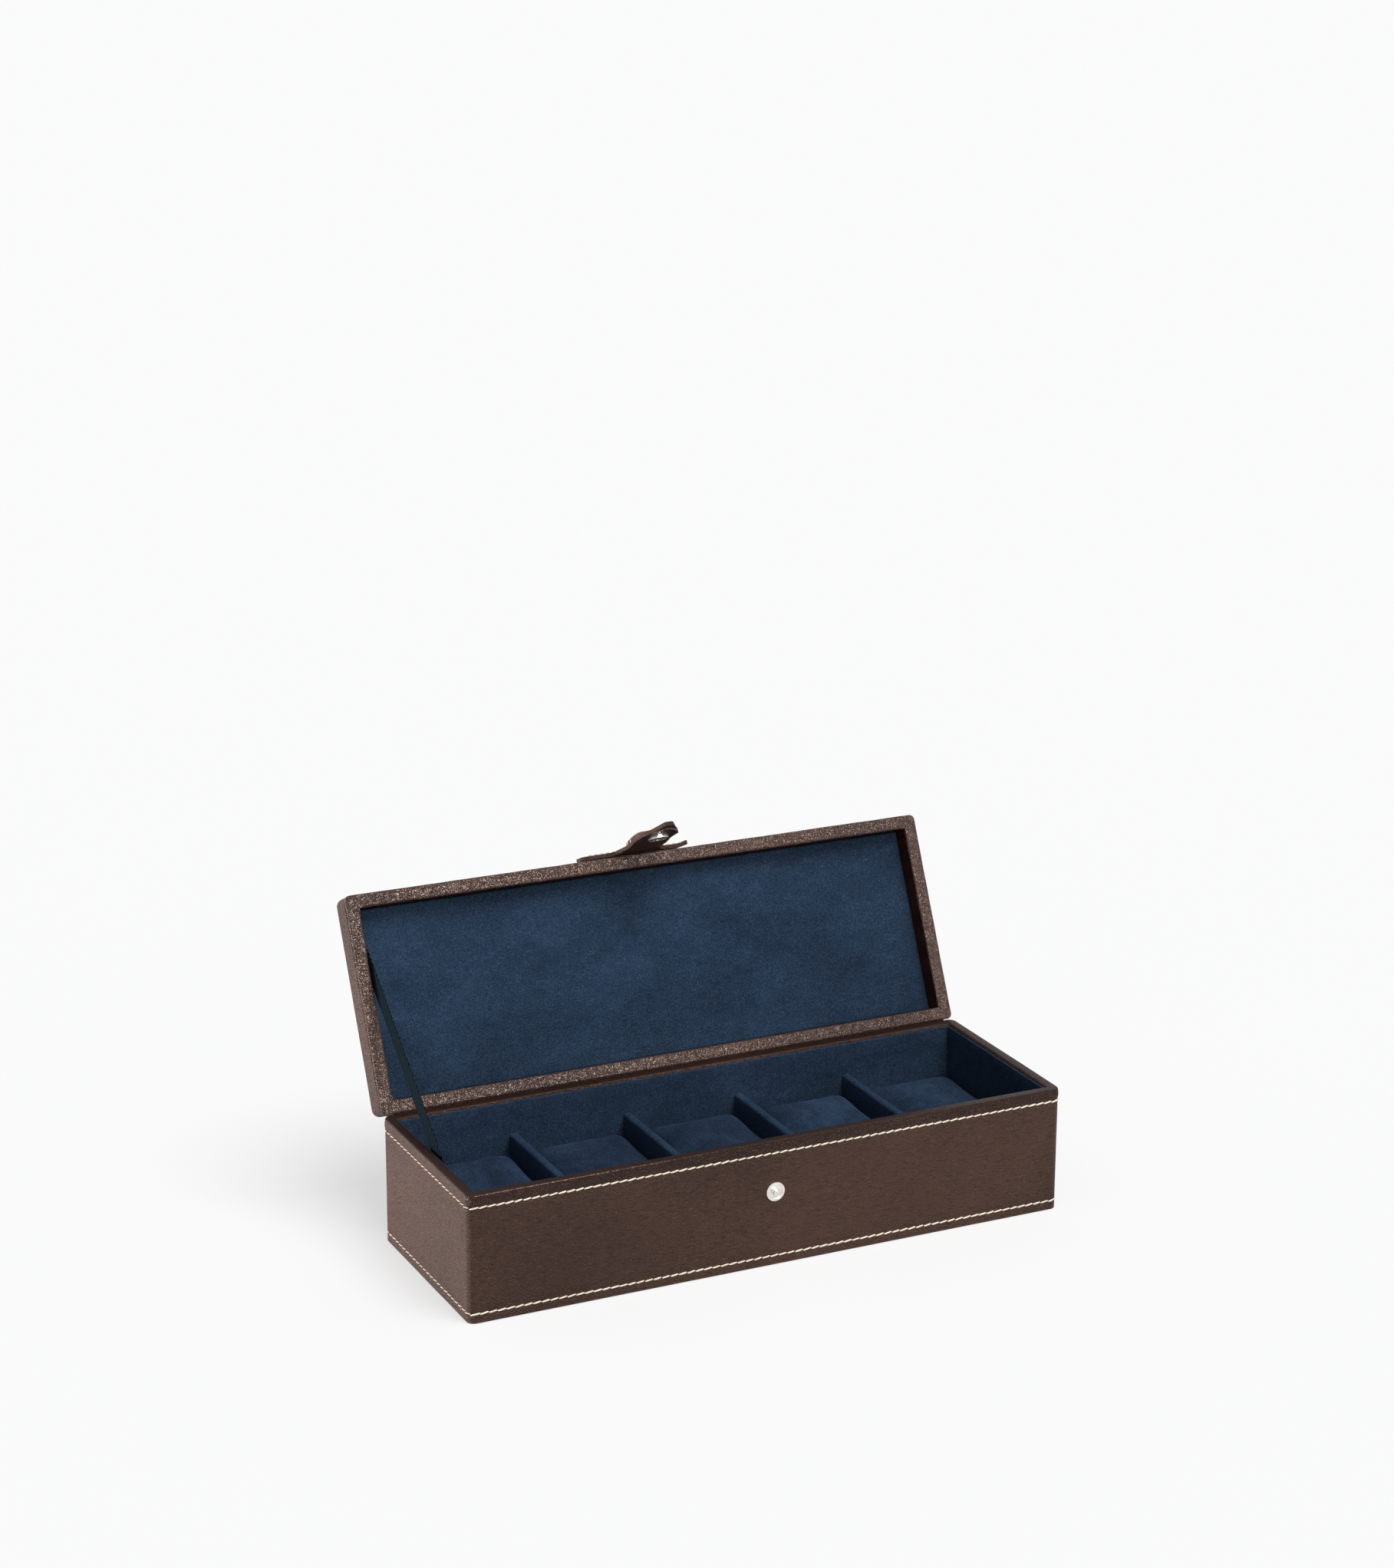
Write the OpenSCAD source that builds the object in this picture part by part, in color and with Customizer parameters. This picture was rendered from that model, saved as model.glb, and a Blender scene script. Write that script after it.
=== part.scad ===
// Wristwatch display box: a leather-covered case with five compartments, a
// padded lid on a leather hinge, a ribbon stay and a press-stud closure.
// Millimetres, +Z up. The origin is the middle of the underside of the case,
// +X runs along the length, -Y is the front and +Y the hinge side.

/* [Case] */
// Outside length of case and lid
base_l = 330; // [300:1:360]
// Outside depth of case and lid, front to hinge
base_d = 113; // [105:1:125]
// Height of the case up to its rim
base_h = 67; // [60:1:75]
// Height of the lid, rim to top
lid_h = 18; // [16.5:0.5:22]
// Gap between the two rims when the lid is shut
rim_gap = 0.3; // [0.3:0.1:0.6]
// Angle the lid stands open, measured from shut
lid_open = 115; // [95:1:120]
// Radius of the upright corners
corner_r = 4; // [3:0.5:6]
// Radius of the case rim's outer edge
rim_edge_r = 1.6; // [0.8:0.2:2]
// Radius of the rims' inner edges
inner_edge_r = 0.8; // [0.4:0.1:1]
// Radius round the lid's top edges
lid_edge_r = 4; // [2.5:0.5:5]

/* [Leather, board and lining] */
// Thickness of the covering leather
leather_t = 1; // [0.8:0.1:1.2]
// Thickness of the case boards
board_t = 3.5; // [3:0.25:4]
// Thickness of the lid's top board
lid_board_t = 4; // [3:0.5:4.5]
// Width of the rails under the lid's rim
lid_rail_w = 5; // [4:0.5:6]
// Thickness of the wall linings
lining_t = 2.2; // [1.8:0.1:3]
// Thickness of the floor lining
floor_lining_t = 1.2; // [1:0.1:2]
// Drop from the rim to the top of the linings
lining_drop = 1.3; // [0.8:0.1:2]
// How far the leather turns down inside the rim
turn_in = 9; // [6:0.5:12]
// Depth of the lid's recess below its rim
recess_depth = 10.4; // [8:0.2:11]

/* [Compartments] */
// Thickness of the dividers
divider_t = 4.6; // [4:0.2:6]
// Height of the divider tops above the table
divider_top = 48.4; // [40:0.4:54]
// Width of a cushion
cushion_w = 54; // [46:1:55]
// Length of a cushion
cushion_l = 88; // [76:1:90]
// Height of a cushion at its crown
cushion_h = 37.6; // [34:0.2:42]
// Rise of the crown above the cushion's edge
cushion_crown = 1.6; // [1:0.2:4]
// How far the sides draw in between the corners
cushion_draw = 0.7; // [0:0.1:1.5]

/* [Closure] */
// Height of the stud above the table
stud_z = 39.9; // [37:0.1:43]
// Diameter of the stud's base disc
stud_disc_d = 10; // [8:0.5:12]
// Diameter of the stud's post
stud_post_d = 3.8; // [3:0.1:4.5]
// Height of the post above the leather
stud_post_h = 2.7; // [2.3:0.1:2.7]
// Play between the post and the hole that snaps over it, all round
snap_clearance = 0.3; // [0.25:0.05:0.4]
// Outside diameter of the snap's ring
socket_d = 11; // [10:0.5:12]
// Width of the closing tab
tab_w = 21; // [18:0.5:24]
// Thickness of the tab's leather
tab_t = 2; // [1.8:0.1:2.4]
// How far in from the tab's edges its raised pad is sewn
pad_inset = 1.5; // [1:0.1:2.5]
// How far the tab stands off its shut position at rest
tab_lift = 4.5; // [4:0.5:8]
// Length of the anchor strip on the lid, tip to tip
anchor_l = 65; // [56:1:72]
// Height of the anchor strip
anchor_h = 12; // [10:0.5:13]

/* [Ribbon stay] */
// Width of the ribbon
ribbon_w = 10; // [7:0.5:12]
// Thickness of the ribbon
ribbon_t = 0.5; // [0.4:0.1:0.8]

/* [Hidden] */
$fn = 48;
fine = 240;
leather_color = [0.26, 0.18, 0.15];
dark_leather_color = [0.17, 0.11, 0.09];
suede_color = [0.10, 0.16, 0.27];
ribbon_color = [0.07, 0.15, 0.22];
nickel_color = [0.78, 0.76, 0.72];
board_color = [0.62, 0.50, 0.36];
half_l = base_l / 2;
half_d = base_d / 2;
// clearances
touch_free = 0.3;
hole_play = 0.15;
cut = 1;
far = 500;
tab_reach = 20;
// case, from the table up
skin_z = 0.3;
wall_z = leather_t;
bottom_inset = 1.6;
floor_top = wall_z + board_t;
lining_z = floor_top + floor_lining_t;
lining_top = base_h - lining_drop;
board_top = base_h - leather_t;
inner_l = base_l - 2 * (leather_t + board_t);
inner_d = base_d - 2 * (leather_t + board_t);
mouth_l = inner_l - 2 * leather_t;
mouth_d = inner_d - 2 * leather_t;
room_l = inner_l - 2 * lining_t;
room_d = inner_d - 2 * lining_t;
foot_edge_r = 0.6;
rebate = 1.5;
// compartments
compartments = 5;
pitch = (room_l + divider_t) / compartments;
cushion_foot_gap = 0.02;
// lid, drawn shut and turned about the hinge
hinge_y = half_d;
hinge_z = base_h + rim_gap / 2;
rim_z = base_h + rim_gap;
lid_top = rim_z + lid_h;
rail_z = rim_z + leather_t;
rail_top = lid_top - leather_t - lid_board_t;
recess_l = base_l - 2 * (2 * leather_t + lid_rail_w);
recess_d = base_d - 2 * (2 * leather_t + lid_rail_w);
rim_outer_r = 1;
// leather hinge
hinge_margin = 6;
hinge_l = base_l - 2 * hinge_margin;
bead_r = 0.9;
bead_free_r = bead_r + 1.5 * touch_free;
hinge_flap = 14;
// closure, in the plane of the lid's front: n down from the rim, v outward
tab_axis_at = -1;
tab_axis_v = 2.4;
knuckle_r = 1.2;
socket_at = rim_z - stud_z;
stud_disc_t = 0.7;
socket_v = stud_disc_t + touch_free;
socket_h = 1.6;
tab_flat_v = socket_v + socket_h;
tab_low_v = 1.4;
bend_a = 14;
bend_r = (tab_flat_v - tab_low_v) / 2 / (1 - cos(bend_a));
bend_l = 2 * bend_r * sin(bend_a);
flat_l = 11;
snap_lead = 5.4;
bend_start = socket_at - snap_lead - bend_l;
shoulder_past = 5.1;
shoulder_at = socket_at + shoulder_past;
tip_past = 18.6;
tip_at = socket_at + tip_past;
tip_bend_r = 36;
tip_bend_a = 24;
tip_r = 3.5;
pad_start = 6;
pad_past = 8;
pad_end = socket_at + pad_past;
pad_arc_r = 60;
pad_top_v = 6.9;
pad_mid = 20;
pad_nose_r = 4;
barrel_d = 6;
socket_hole_d = stud_post_d + 2 * snap_clearance;
socket_hole_h = 2.4;
cap_d = 10;
cap_t = 0.8;
shank_d = 3;
backing_d = 9;
backing_t = 0.9;
anchor_at = -9;
anchor_t = 1.7;
anchor_over_t = 1.6;
// ribbon, in a plane just inside the left wall
ribbon_off_wall = 0.8;
ribbon_drop = 14;
ribbon_x = -room_l / 2 + ribbon_off_wall;
ribbon_low = [-base_d / 8, base_h - ribbon_drop];
ribbon_reach = 0.73 * base_d;
ribbon_in = recess_depth / 2 + rim_gap / 2;
ribbon_high = [
    hinge_y - ribbon_reach * cos(lid_open) + ribbon_in * sin(lid_open),
    hinge_z + ribbon_reach * sin(lid_open) + ribbon_in * cos(lid_open)];
ribbon_len = norm(ribbon_high - ribbon_low);
ribbon_rise = atan2(ribbon_high[1] - ribbon_low[1], ribbon_high[0] - ribbon_low[0]);
ribbon_fold = 8;

// ---- shared shapes ----

module rounded_rect(l, d, r) {
    square([l - 2 * r, d], center = true);
    square([l, d - 2 * r], center = true);
    for (x = [-1, 1], y = [-1, 1])
        translate([x * (l / 2 - r), y * (d / 2 - r)]) circle(r);
}

// a rounded block between two heights
module block(l, d, r, z0, z1) {
    translate([0, 0, z0]) linear_extrude(z1 - z0) rounded_rect(l, d, r);
}

// a square-cornered block between two heights
module box(l, d, z0, z1) {
    translate([-l / 2, -d / 2, z0]) cube([l, d, z1 - z0]);
}

// one corner of a section that is carried round a rounded rectangle
module corner_turn(r) {
    rotate_extrude(angle = 90) intersection() {
        translate([r, 0]) children();
        translate([0, -far]) square([far, 2 * far]);
    }
}

// carries a section, drawn outward (x) and up (y), round a rounded rectangle
module sweep_round(l, d, r) {
    for (turn = [0, 180]) rotate([0, 0, turn]) {
        translate([l / 2, -d / 2 + r, 0]) rotate([90, 0, 180]) mirror([1, 0, 0])
            linear_extrude(d - 2 * r) children();
        translate([l / 2 - r, d / 2, 0]) rotate([90, 0, -90]) mirror([1, 0, 0])
            linear_extrude(l - 2 * r) children();
        translate([l / 2 - r, d / 2 - r, 0]) corner_turn(r) children();
        translate([-l / 2 + r, d / 2 - r, 0]) rotate([0, 0, 90]) corner_turn(r) children();
    }
}

// what is taken off an outer edge to round it, side = 1 for a top edge
module outer_edge_cut(l, d, r, z, e, side = 1) {
    sweep_round(l, d, r) translate([-e, z - side * e]) difference() {
        translate([0, side > 0 ? 0 : -e - cut]) square(e + cut);
        circle(e);
    }
}

// what is taken off the edge of an opening to round it
module inner_edge_cut(l, d, z, e, side = 1) {
    sweep_round(l, d, 0) translate([e, z - side * e]) difference() {
        translate([-e - cut, side > 0 ? 0 : -e - cut]) square(e + cut);
        circle(e);
    }
}

// a slab whose top edges are rounded all round
module soft_slab(l, d, r, z0, z1, e) {
    difference() {
        block(l, d, r, z0, z1);
        outer_edge_cut(l, d, r, z1, e);
    }
}

// the point where a line from s touches a circle, side picks which one
function touch_point(s, c, r, side) =
    let (gap = norm(c - s), a = atan2(c[1] - s[1], c[0] - s[0]))
    s + sqrt(gap * gap - r * r) * [cos(a + side * asin(r / gap)), sin(a + side * asin(r / gap))];

// a strip outline that tapers from its shoulders to a rounded tip along +x
module pointed_outline(start, shoulder, tip, w, r) {
    c = [tip - r, 0];
    translate([start, -w / 2]) square([shoulder - start, w]);
    polygon([[shoulder, -w / 2], touch_point([shoulder, -w / 2], c, r, -1), c,
        touch_point([shoulder, w / 2], c, r, 1), [shoulder, w / 2]]);
    translate(c) circle(r);
}

// turns the shut lid to where it stands open
module open_lid() {
    translate([0, hinge_y, hinge_z]) rotate([-lid_open, 0, 0])
        translate([0, -hinge_y, -hinge_z]) children();
}

// the plane of the lid's front: x down from the rim, y out of the face
module on_lid_front() {
    open_lid() translate([0, -half_d, rim_z]) rotate([0, 90, 180]) children();
}

// the tab swung out to where it rests
module on_tab() {
    on_lid_front() translate([tab_axis_at, tab_axis_v, 0]) rotate([0, 0, tab_lift])
        translate([-tab_axis_at, -tab_axis_v, 0]) children();
}

// a round piece on the stud's axis, standing out of the case front
module on_stud_axis() {
    translate([0, -half_d, stud_z]) rotate([90, 0, 0]) children();
}

// ---- case ----

module base_floor_board() {
    color(board_color) box(inner_l, inner_d, wall_z, floor_top);
}

module case_board_outline() {
    block(base_l - 2 * leather_t, base_d - 2 * leather_t, corner_r - leather_t, wall_z, board_top);
}

// front and back boards run the full length, rebated for the end boards
module long_board(side) {
    difference() {
        intersection() {
            case_board_outline();
            translate([0, side * (inner_d / 2 + board_t / 2), 0])
                box(base_l, board_t, wall_z, board_top);
        }
        for (x = [-1, 1])
            translate([x * (inner_l / 2 + board_t), side * inner_d / 2, 0])
                box(2 * board_t, 2 * rebate, 0, base_h);
    }
}

module base_front_board() {
    color(board_color) difference() {
        long_board(-1);
        on_stud_axis() translate([0, 0, -2 * board_t]) cylinder(h = 3 * board_t, d = shank_d + 2 * hole_play);
        on_stud_axis() translate([0, 0, -3 * board_t - leather_t + backing_t])
            cylinder(h = 2 * board_t, d = backing_d + 2 * hole_play);
    }
}

module base_back_board() {
    color(board_color) long_board(1);
}

module end_board(side) {
    intersection() {
        case_board_outline();
        translate([side * (inner_l / 2 + board_t / 2), 0, 0])
            box(board_t, inner_d + 2 * rebate, wall_z, board_top);
    }
}

module base_left_board() {
    color(board_color) end_board(-1);
}

module base_right_board() {
    color(board_color) end_board(1);
}

// the leather goes up the outside, over the rim and down inside it
module base_leather_cover() {
    color(leather_color) difference() {
        union() {
            difference() {
                block(base_l, base_d, corner_r, skin_z, base_h);
                block(base_l - 2 * leather_t, base_d - 2 * leather_t, corner_r - leather_t,
                    skin_z - cut, board_top);
            }
            box(inner_l, inner_d, base_h - turn_in, board_top);
        }
        box(mouth_l, mouth_d, -cut, base_h + cut);
        outer_edge_cut(base_l, base_d, corner_r, base_h, rim_edge_r);
        outer_edge_cut(base_l, base_d, corner_r, skin_z, foot_edge_r, -1);
        inner_edge_cut(mouth_l, mouth_d, base_h, inner_edge_r);
        translate([0, half_d, 0]) box(hinge_l, 2 * leather_t, base_h - hinge_flap, base_h + cut);
        on_stud_axis() translate([0, 0, -2 * leather_t]) cylinder(h = 3 * leather_t, d = shank_d + 2 * hole_play);
    }
}

module base_bottom_leather() {
    color(dark_leather_color)
        block(base_l - 2 * bottom_inset, base_d - 2 * bottom_inset, corner_r - bottom_inset, 0, wall_z);
}

module floor_lining() {
    color(suede_color) box(inner_l, inner_d, floor_top, lining_z);
}

// a wall lining along Y, rebated at the top for the turned-in leather
module lining_section() {
    square([lining_t, base_h - turn_in - lining_z]);
    translate([leather_t, 0]) square([lining_t - leather_t, lining_top - lining_z - inner_edge_r / 2]);
    translate([leather_t + inner_edge_r / 2, 0])
        square([lining_t - leather_t - inner_edge_r / 2, lining_top - lining_z]);
    translate([leather_t + inner_edge_r / 2, lining_top - lining_z - inner_edge_r / 2])
        circle(inner_edge_r / 2);
}

module end_lining(side) {
    difference() {
        rotate([0, 0, side > 0 ? 180 : 0]) translate([-inner_l / 2, inner_d / 2, lining_z])
            rotate([90, 0, 0]) linear_extrude(inner_d) lining_section();
        for (y = [-1, 1])
            translate([side * inner_l / 2, y * (mouth_d / 2 + leather_t), 0])
                box(3 * lining_t, 2 * leather_t, base_h - turn_in, base_h);
    }
}

module long_lining(side) {
    rotate([0, 0, side > 0 ? 180 : 0]) translate([-room_l / 2, -inner_d / 2, lining_z])
        rotate([90, 0, 90]) linear_extrude(room_l) lining_section();
}

module front_lining() {
    color(suede_color) long_lining(-1);
}

module back_lining() {
    color(suede_color) long_lining(1);
}

module left_lining() {
    color(suede_color) end_lining(-1);
}

module right_lining() {
    color(suede_color) end_lining(1);
}

// a padded divider, its top rounded to half its thickness
module divider(n) {
    color(suede_color) translate([-room_l / 2 + n * pitch - divider_t / 2, room_d / 2, lining_z])
        rotate([90, 0, 0]) linear_extrude(room_d) {
            translate([-divider_t / 2, 0]) square([divider_t, divider_top - lining_z - divider_t / 2]);
            translate([0, divider_top - lining_z - divider_t / 2]) circle(divider_t / 2);
        }
}

module divider_1() {
    divider(1);
}

module divider_2() {
    divider(2);
}

module divider_3() {
    divider(3);
}

module divider_4() {
    divider(4);
}

// ---- press stud ----

module snap_stud() {
    ring_w = 1.1;
    dish = 0.35;
    neck = 0.25;
    head_r = 0.9;
    color(nickel_color) on_stud_axis() rotate_extrude() {
        difference() {
            square([stud_disc_d / 2, stud_disc_t]);
            translate([stud_post_d / 2, stud_disc_t - dish])
                square([stud_disc_d / 2 - ring_w - stud_post_d / 2, cut]);
        }
        square([stud_post_d / 2 - neck, stud_post_h - head_r]);
        square([stud_post_d / 2 - head_r, stud_post_h]);
        intersection() {
            translate([stud_post_d / 2 - head_r, stud_post_h - head_r]) circle(head_r);
            square([stud_post_d, stud_post_h]);
        }
        translate([0, -leather_t - board_t]) square([shank_d / 2, leather_t + board_t]);
    }
}

module snap_stud_backing() {
    color(nickel_color) on_stud_axis() translate([0, 0, -leather_t - board_t]) difference() {
        cylinder(h = backing_t, d = backing_d);
        translate([0, 0, -cut]) cylinder(h = backing_t + 2 * cut, d = shank_d);
    }
}

// ---- leather hinge ----

// the lower flap ends in a bead on the hinge line
module hinge_leather_lower() {
    color(dark_leather_color) {
        translate([-hinge_l / 2, half_d - leather_t, base_h - hinge_flap])
            cube([hinge_l, leather_t, hinge_flap]);
        translate([-hinge_l / 2, hinge_y, hinge_z]) rotate([0, 90, 0]) cylinder(h = hinge_l, r = bead_r);
    }
}

module hinge_free_space() {
    translate([0, hinge_y, hinge_z]) rotate([0, 90, 0]) cylinder(h = base_l + 2 * cut, r = bead_free_r, center = true);
}

module hinge_leather_upper() {
    color(dark_leather_color) open_lid() difference() {
        translate([-hinge_l / 2, half_d - leather_t, rail_z])
            cube([hinge_l, leather_t, hinge_flap - 2 * leather_t]);
        hinge_free_space();
    }
}

// ---- ribbon stay ----

// flat against the left wall, folded double where it is sewn down at each end
module ribbon_stay() {
    color(ribbon_color) translate([ribbon_x - ribbon_t / 2, ribbon_low[0], ribbon_low[1]]) rotate([ribbon_rise, 0, 0]) {
        translate([0, 0, -ribbon_w / 2]) cube([ribbon_t, ribbon_len, ribbon_w]);
        translate([-ribbon_x - room_l / 2 + ribbon_t / 2, 0, -ribbon_w / 2])
            cube([ribbon_x + room_l / 2, ribbon_fold, ribbon_w]);
        translate([-ribbon_x - recess_l / 2 + ribbon_t / 2, ribbon_len - ribbon_fold, -ribbon_w / 2])
            cube([ribbon_x + recess_l / 2, ribbon_fold, ribbon_w]);
    }
}

// ---- lid ----

module lid_core(z0, z1) {
    soft_slab(base_l - 2 * leather_t, base_d - 2 * leather_t, corner_r - leather_t, z0, z1, lid_edge_r - leather_t);
}

module lid_top_board() {
    color(board_color) open_lid() lid_core(rail_top, lid_top - leather_t);
}

module long_rail(side) {
    open_lid() intersection() {
        block(base_l - 2 * leather_t, base_d - 2 * leather_t, corner_r - leather_t, rail_z, rail_top);
        translate([0, side * (half_d - leather_t - lid_rail_w / 2), 0])
            box(base_l, lid_rail_w, rail_z, rail_top);
    }
}

module end_rail(side) {
    open_lid() translate([side * (half_l - leather_t - lid_rail_w / 2), 0, 0])
        box(lid_rail_w, base_d - 2 * leather_t - 2 * lid_rail_w, rail_z, rail_top);
}

module lid_front_rail() {
    color(board_color) long_rail(-1);
}

module lid_back_rail() {
    color(board_color) long_rail(1);
}

module lid_left_rail() {
    color(board_color) end_rail(-1);
}

module lid_right_rail() {
    color(board_color) end_rail(1);
}

module lid_leather_cover() {
    color(leather_color) open_lid() difference() {
        soft_slab(base_l, base_d, corner_r, rail_z, lid_top, lid_edge_r);
        lid_core(rim_z, lid_top - leather_t);
        translate([0, half_d, 0])
            box(hinge_l, 2 * leather_t, rim_z, rail_z + hinge_flap - 2 * leather_t);
        hinge_free_space();
    }
}

// section of the strip round the rim: flat on the rim, turned up inside the recess
module rim_section() {
    w = 2 * leather_t + lid_rail_w;
    difference() {
        union() {
            square([w, leather_t]);
            translate([w - leather_t, 0]) square([leather_t, rail_top - rim_z]);
        }
        difference() {
            translate([-cut, -cut]) square(cut + rim_outer_r);
            translate([rim_outer_r, rim_outer_r]) circle(rim_outer_r);
        }
        difference() {
            translate([w - inner_edge_r, -cut]) square(cut + inner_edge_r);
            translate([w - inner_edge_r, inner_edge_r]) circle(inner_edge_r);
        }
    }
}

// one side of the rim strip, cut to a mitre at each end
module rim_side(along, across, turn) {
    open_lid() difference() {
        intersection() {
            block(base_l, base_d, corner_r, rim_z - cut, lid_top);
            rotate([0, 0, turn]) translate([-along / 2, -across / 2, rim_z])
                rotate([90, 0, 90]) linear_extrude(along) rim_section();
        }
        for (end = [-1, 1])
            rotate([0, 0, turn]) translate([end * along / 2, -across / 2, rim_z - cut])
                rotate([0, 0, -end * 45]) translate([-half_d, 0, 0]) cube([base_d, half_d, lid_h]);
        hinge_free_space();
    }
}

module lid_rim_front() {
    color(leather_color) rim_side(base_l, base_d, 0);
}

module lid_rim_back() {
    color(leather_color) rim_side(base_l, base_d, 180);
}

module lid_rim_left() {
    color(leather_color) rim_side(base_d, base_l, -90);
}

module lid_rim_right() {
    color(leather_color) rim_side(base_d, base_l, 90);
}

module lid_lining() {
    color(suede_color) open_lid() box(recess_l, recess_d, rim_z + recess_depth, rail_top);
}

// ---- closure ----

// the strip across the lid's front that holds the tab, pointed at both ends
module closure_anchor() {
    wing = 9;
    inset = 2;
    color(leather_color) on_lid_front() translate([anchor_at, 0, 0]) rotate([-90, 0, 0]) rotate([0, 0, 90]) {
        linear_extrude(anchor_t) for (side = [0, 180]) rotate([0, 0, side])
            pointed_outline(0, anchor_l / 2 - wing, anchor_l / 2, anchor_h, tip_r / 2);
        translate([0, 0, anchor_t]) linear_extrude(anchor_over_t) for (side = [0, 180]) rotate([0, 0, side])
            pointed_outline(0, anchor_l / 2 - wing - inset, anchor_l / 2 - inset, anchor_h - inset, tip_r / 2);
    }
}

// the tab's middle line seen from the side, shut: along the lid, up over the snap
// and out at the tip, each point with the slope there
function tab_line() = let (
        low = tab_low_v + tab_t / 2,
        flat = tab_flat_v + tab_t / 2,
        flat_from = bend_start + bend_l,
        step = bend_a / 4)
    concat(
        [[tab_axis_at, low, 0]],
        [for (a = [0 : step : bend_a]) [bend_start + bend_r * sin(a), low + bend_r * (1 - cos(a)), a]],
        [for (a = [bend_a - step : -step : 0]) [flat_from - bend_r * sin(a), flat - bend_r * (1 - cos(a)), a]],
        [for (a = [0 : step : tip_bend_a])
            [flat_from + flat_l + tip_bend_r * sin(a), flat + tip_bend_r * (1 - cos(a)), a]]);

function off_line(p, off) = [p[0] - off * sin(p[2]), p[1] + off * cos(p[2])];

function tab_side(off) = [for (p = tab_line()) off_line(p, off)];

function reversed(list) = [for (i = [len(list) - 1 : -1 : 0]) list[i]];

module tab_section() {
    translate([tab_axis_at, tab_axis_v]) circle(knuckle_r);
    polygon(concat(tab_side(-tab_t / 2), reversed(tab_side(tab_t / 2))));
}

// everything below the tab's outer face
module below_tab() {
    polygon(concat([[tab_axis_at - tab_reach, -cut], [tab_reach * 3, -cut]],
        reversed(tab_side(tab_t / 2)), [[tab_axis_at - tab_reach, tab_low_v + tab_t]]));
}

// the tab's outline seen from the front, drawn in by inset along its sides
module tab_blank(depth, inset = 0) {
    rotate([-90, 0, 0]) linear_extrude(depth)
        pointed_outline(tab_axis_at - knuckle_r, shoulder_at, tip_at - inset, tab_w - 2 * inset, tip_r);
}

module closure_tab() {
    color(leather_color) on_tab() difference() {
        intersection() {
            linear_extrude(tab_w, center = true) tab_section();
            tab_blank(tab_reach);
        }
        translate([socket_at, 0, 0]) rotate([-90, 0, 0]) cylinder(h = tab_reach, d = barrel_d + 2 * hole_play);
    }
}

// the pad's extent along the tab, with its near end rounded over
module pad_length() {
    translate([pad_start + pad_nose_r, tab_low_v + tab_t]) circle(pad_nose_r);
    translate([pad_start + pad_nose_r, 0]) square([pad_end - pad_start - pad_nose_r, tab_reach]);
}

// the padded cover on the outside of the tab
module closure_tab_cover() {
    color(leather_color) on_tab() difference() {
        intersection() {
            linear_extrude(tab_w, center = true) difference() {
                intersection() {
                    translate([pad_mid, pad_top_v - pad_arc_r]) circle(pad_arc_r, $fn = fine);
                    pad_length();
                }
                below_tab();
            }
            tab_blank(tab_reach, pad_inset);
        }
        translate([socket_at, 0, 0]) rotate([-90, 0, 0])
            cylinder(h = tab_flat_v + tab_t + cap_t, d = cap_d + 2 * hole_play);
    }
}

module snap_socket() {
    lip = 0.5;
    color(nickel_color) on_tab() translate([socket_at, socket_v, 0]) rotate([-90, 0, 0]) rotate_extrude() {
        difference() {
            union() {
                square([socket_d / 2 - lip, socket_h]);
                translate([0, lip]) square([socket_d / 2, socket_h - lip]);
                translate([socket_d / 2 - lip, lip]) circle(lip);
                square([barrel_d / 2, socket_h + tab_t]);
            }
            translate([0, -cut]) square([socket_hole_d / 2, cut + socket_hole_h]);
        }
    }
}

module snap_cap() {
    color(nickel_color) on_tab() translate([socket_at, tab_flat_v + tab_t, 0]) rotate([-90, 0, 0])
        cylinder(h = cap_t, d = cap_d);
}

// ---- cushions ----

// one ring of the cushion: inset on width and length, and its height
function cushion_rings() = let (
        foot = [4, 6, 6],
        crown = [7, 13, 8],
        waist = [0.2, 0.3],
        edge_z = cushion_h - cushion_crown)
    concat(
        [for (a = [-75 : 25 : -25])
            [foot[0] * (1 - cos(a)), foot[1] * (1 - cos(a)), foot[2] * (1 + sin(a) / sin(75))]],
        [[0, 0, foot[2] + 3], [waist[0], waist[1], edge_z / 2], [0, 0, edge_z - crown[2]]],
        [for (a = [22.5 : 22.5 : 67.5])
            [crown[0] * (1 - cos(a)), crown[1] * (1 - cos(a)), edge_z - crown[2] * (1 - sin(a))]],
        [for (s = [0 : 0.3 : 0.6]) let (w = cushion_w / 2, l = cushion_l / 2)
            [w - (w - crown[0]) * (1 - s), l - (l - crown[1]) * (1 - s),
                edge_z + cushion_crown * (1 - (1 - s) * (1 - s))]]);

function power(v, p) = sign(v) * pow(abs(v), p);

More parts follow.
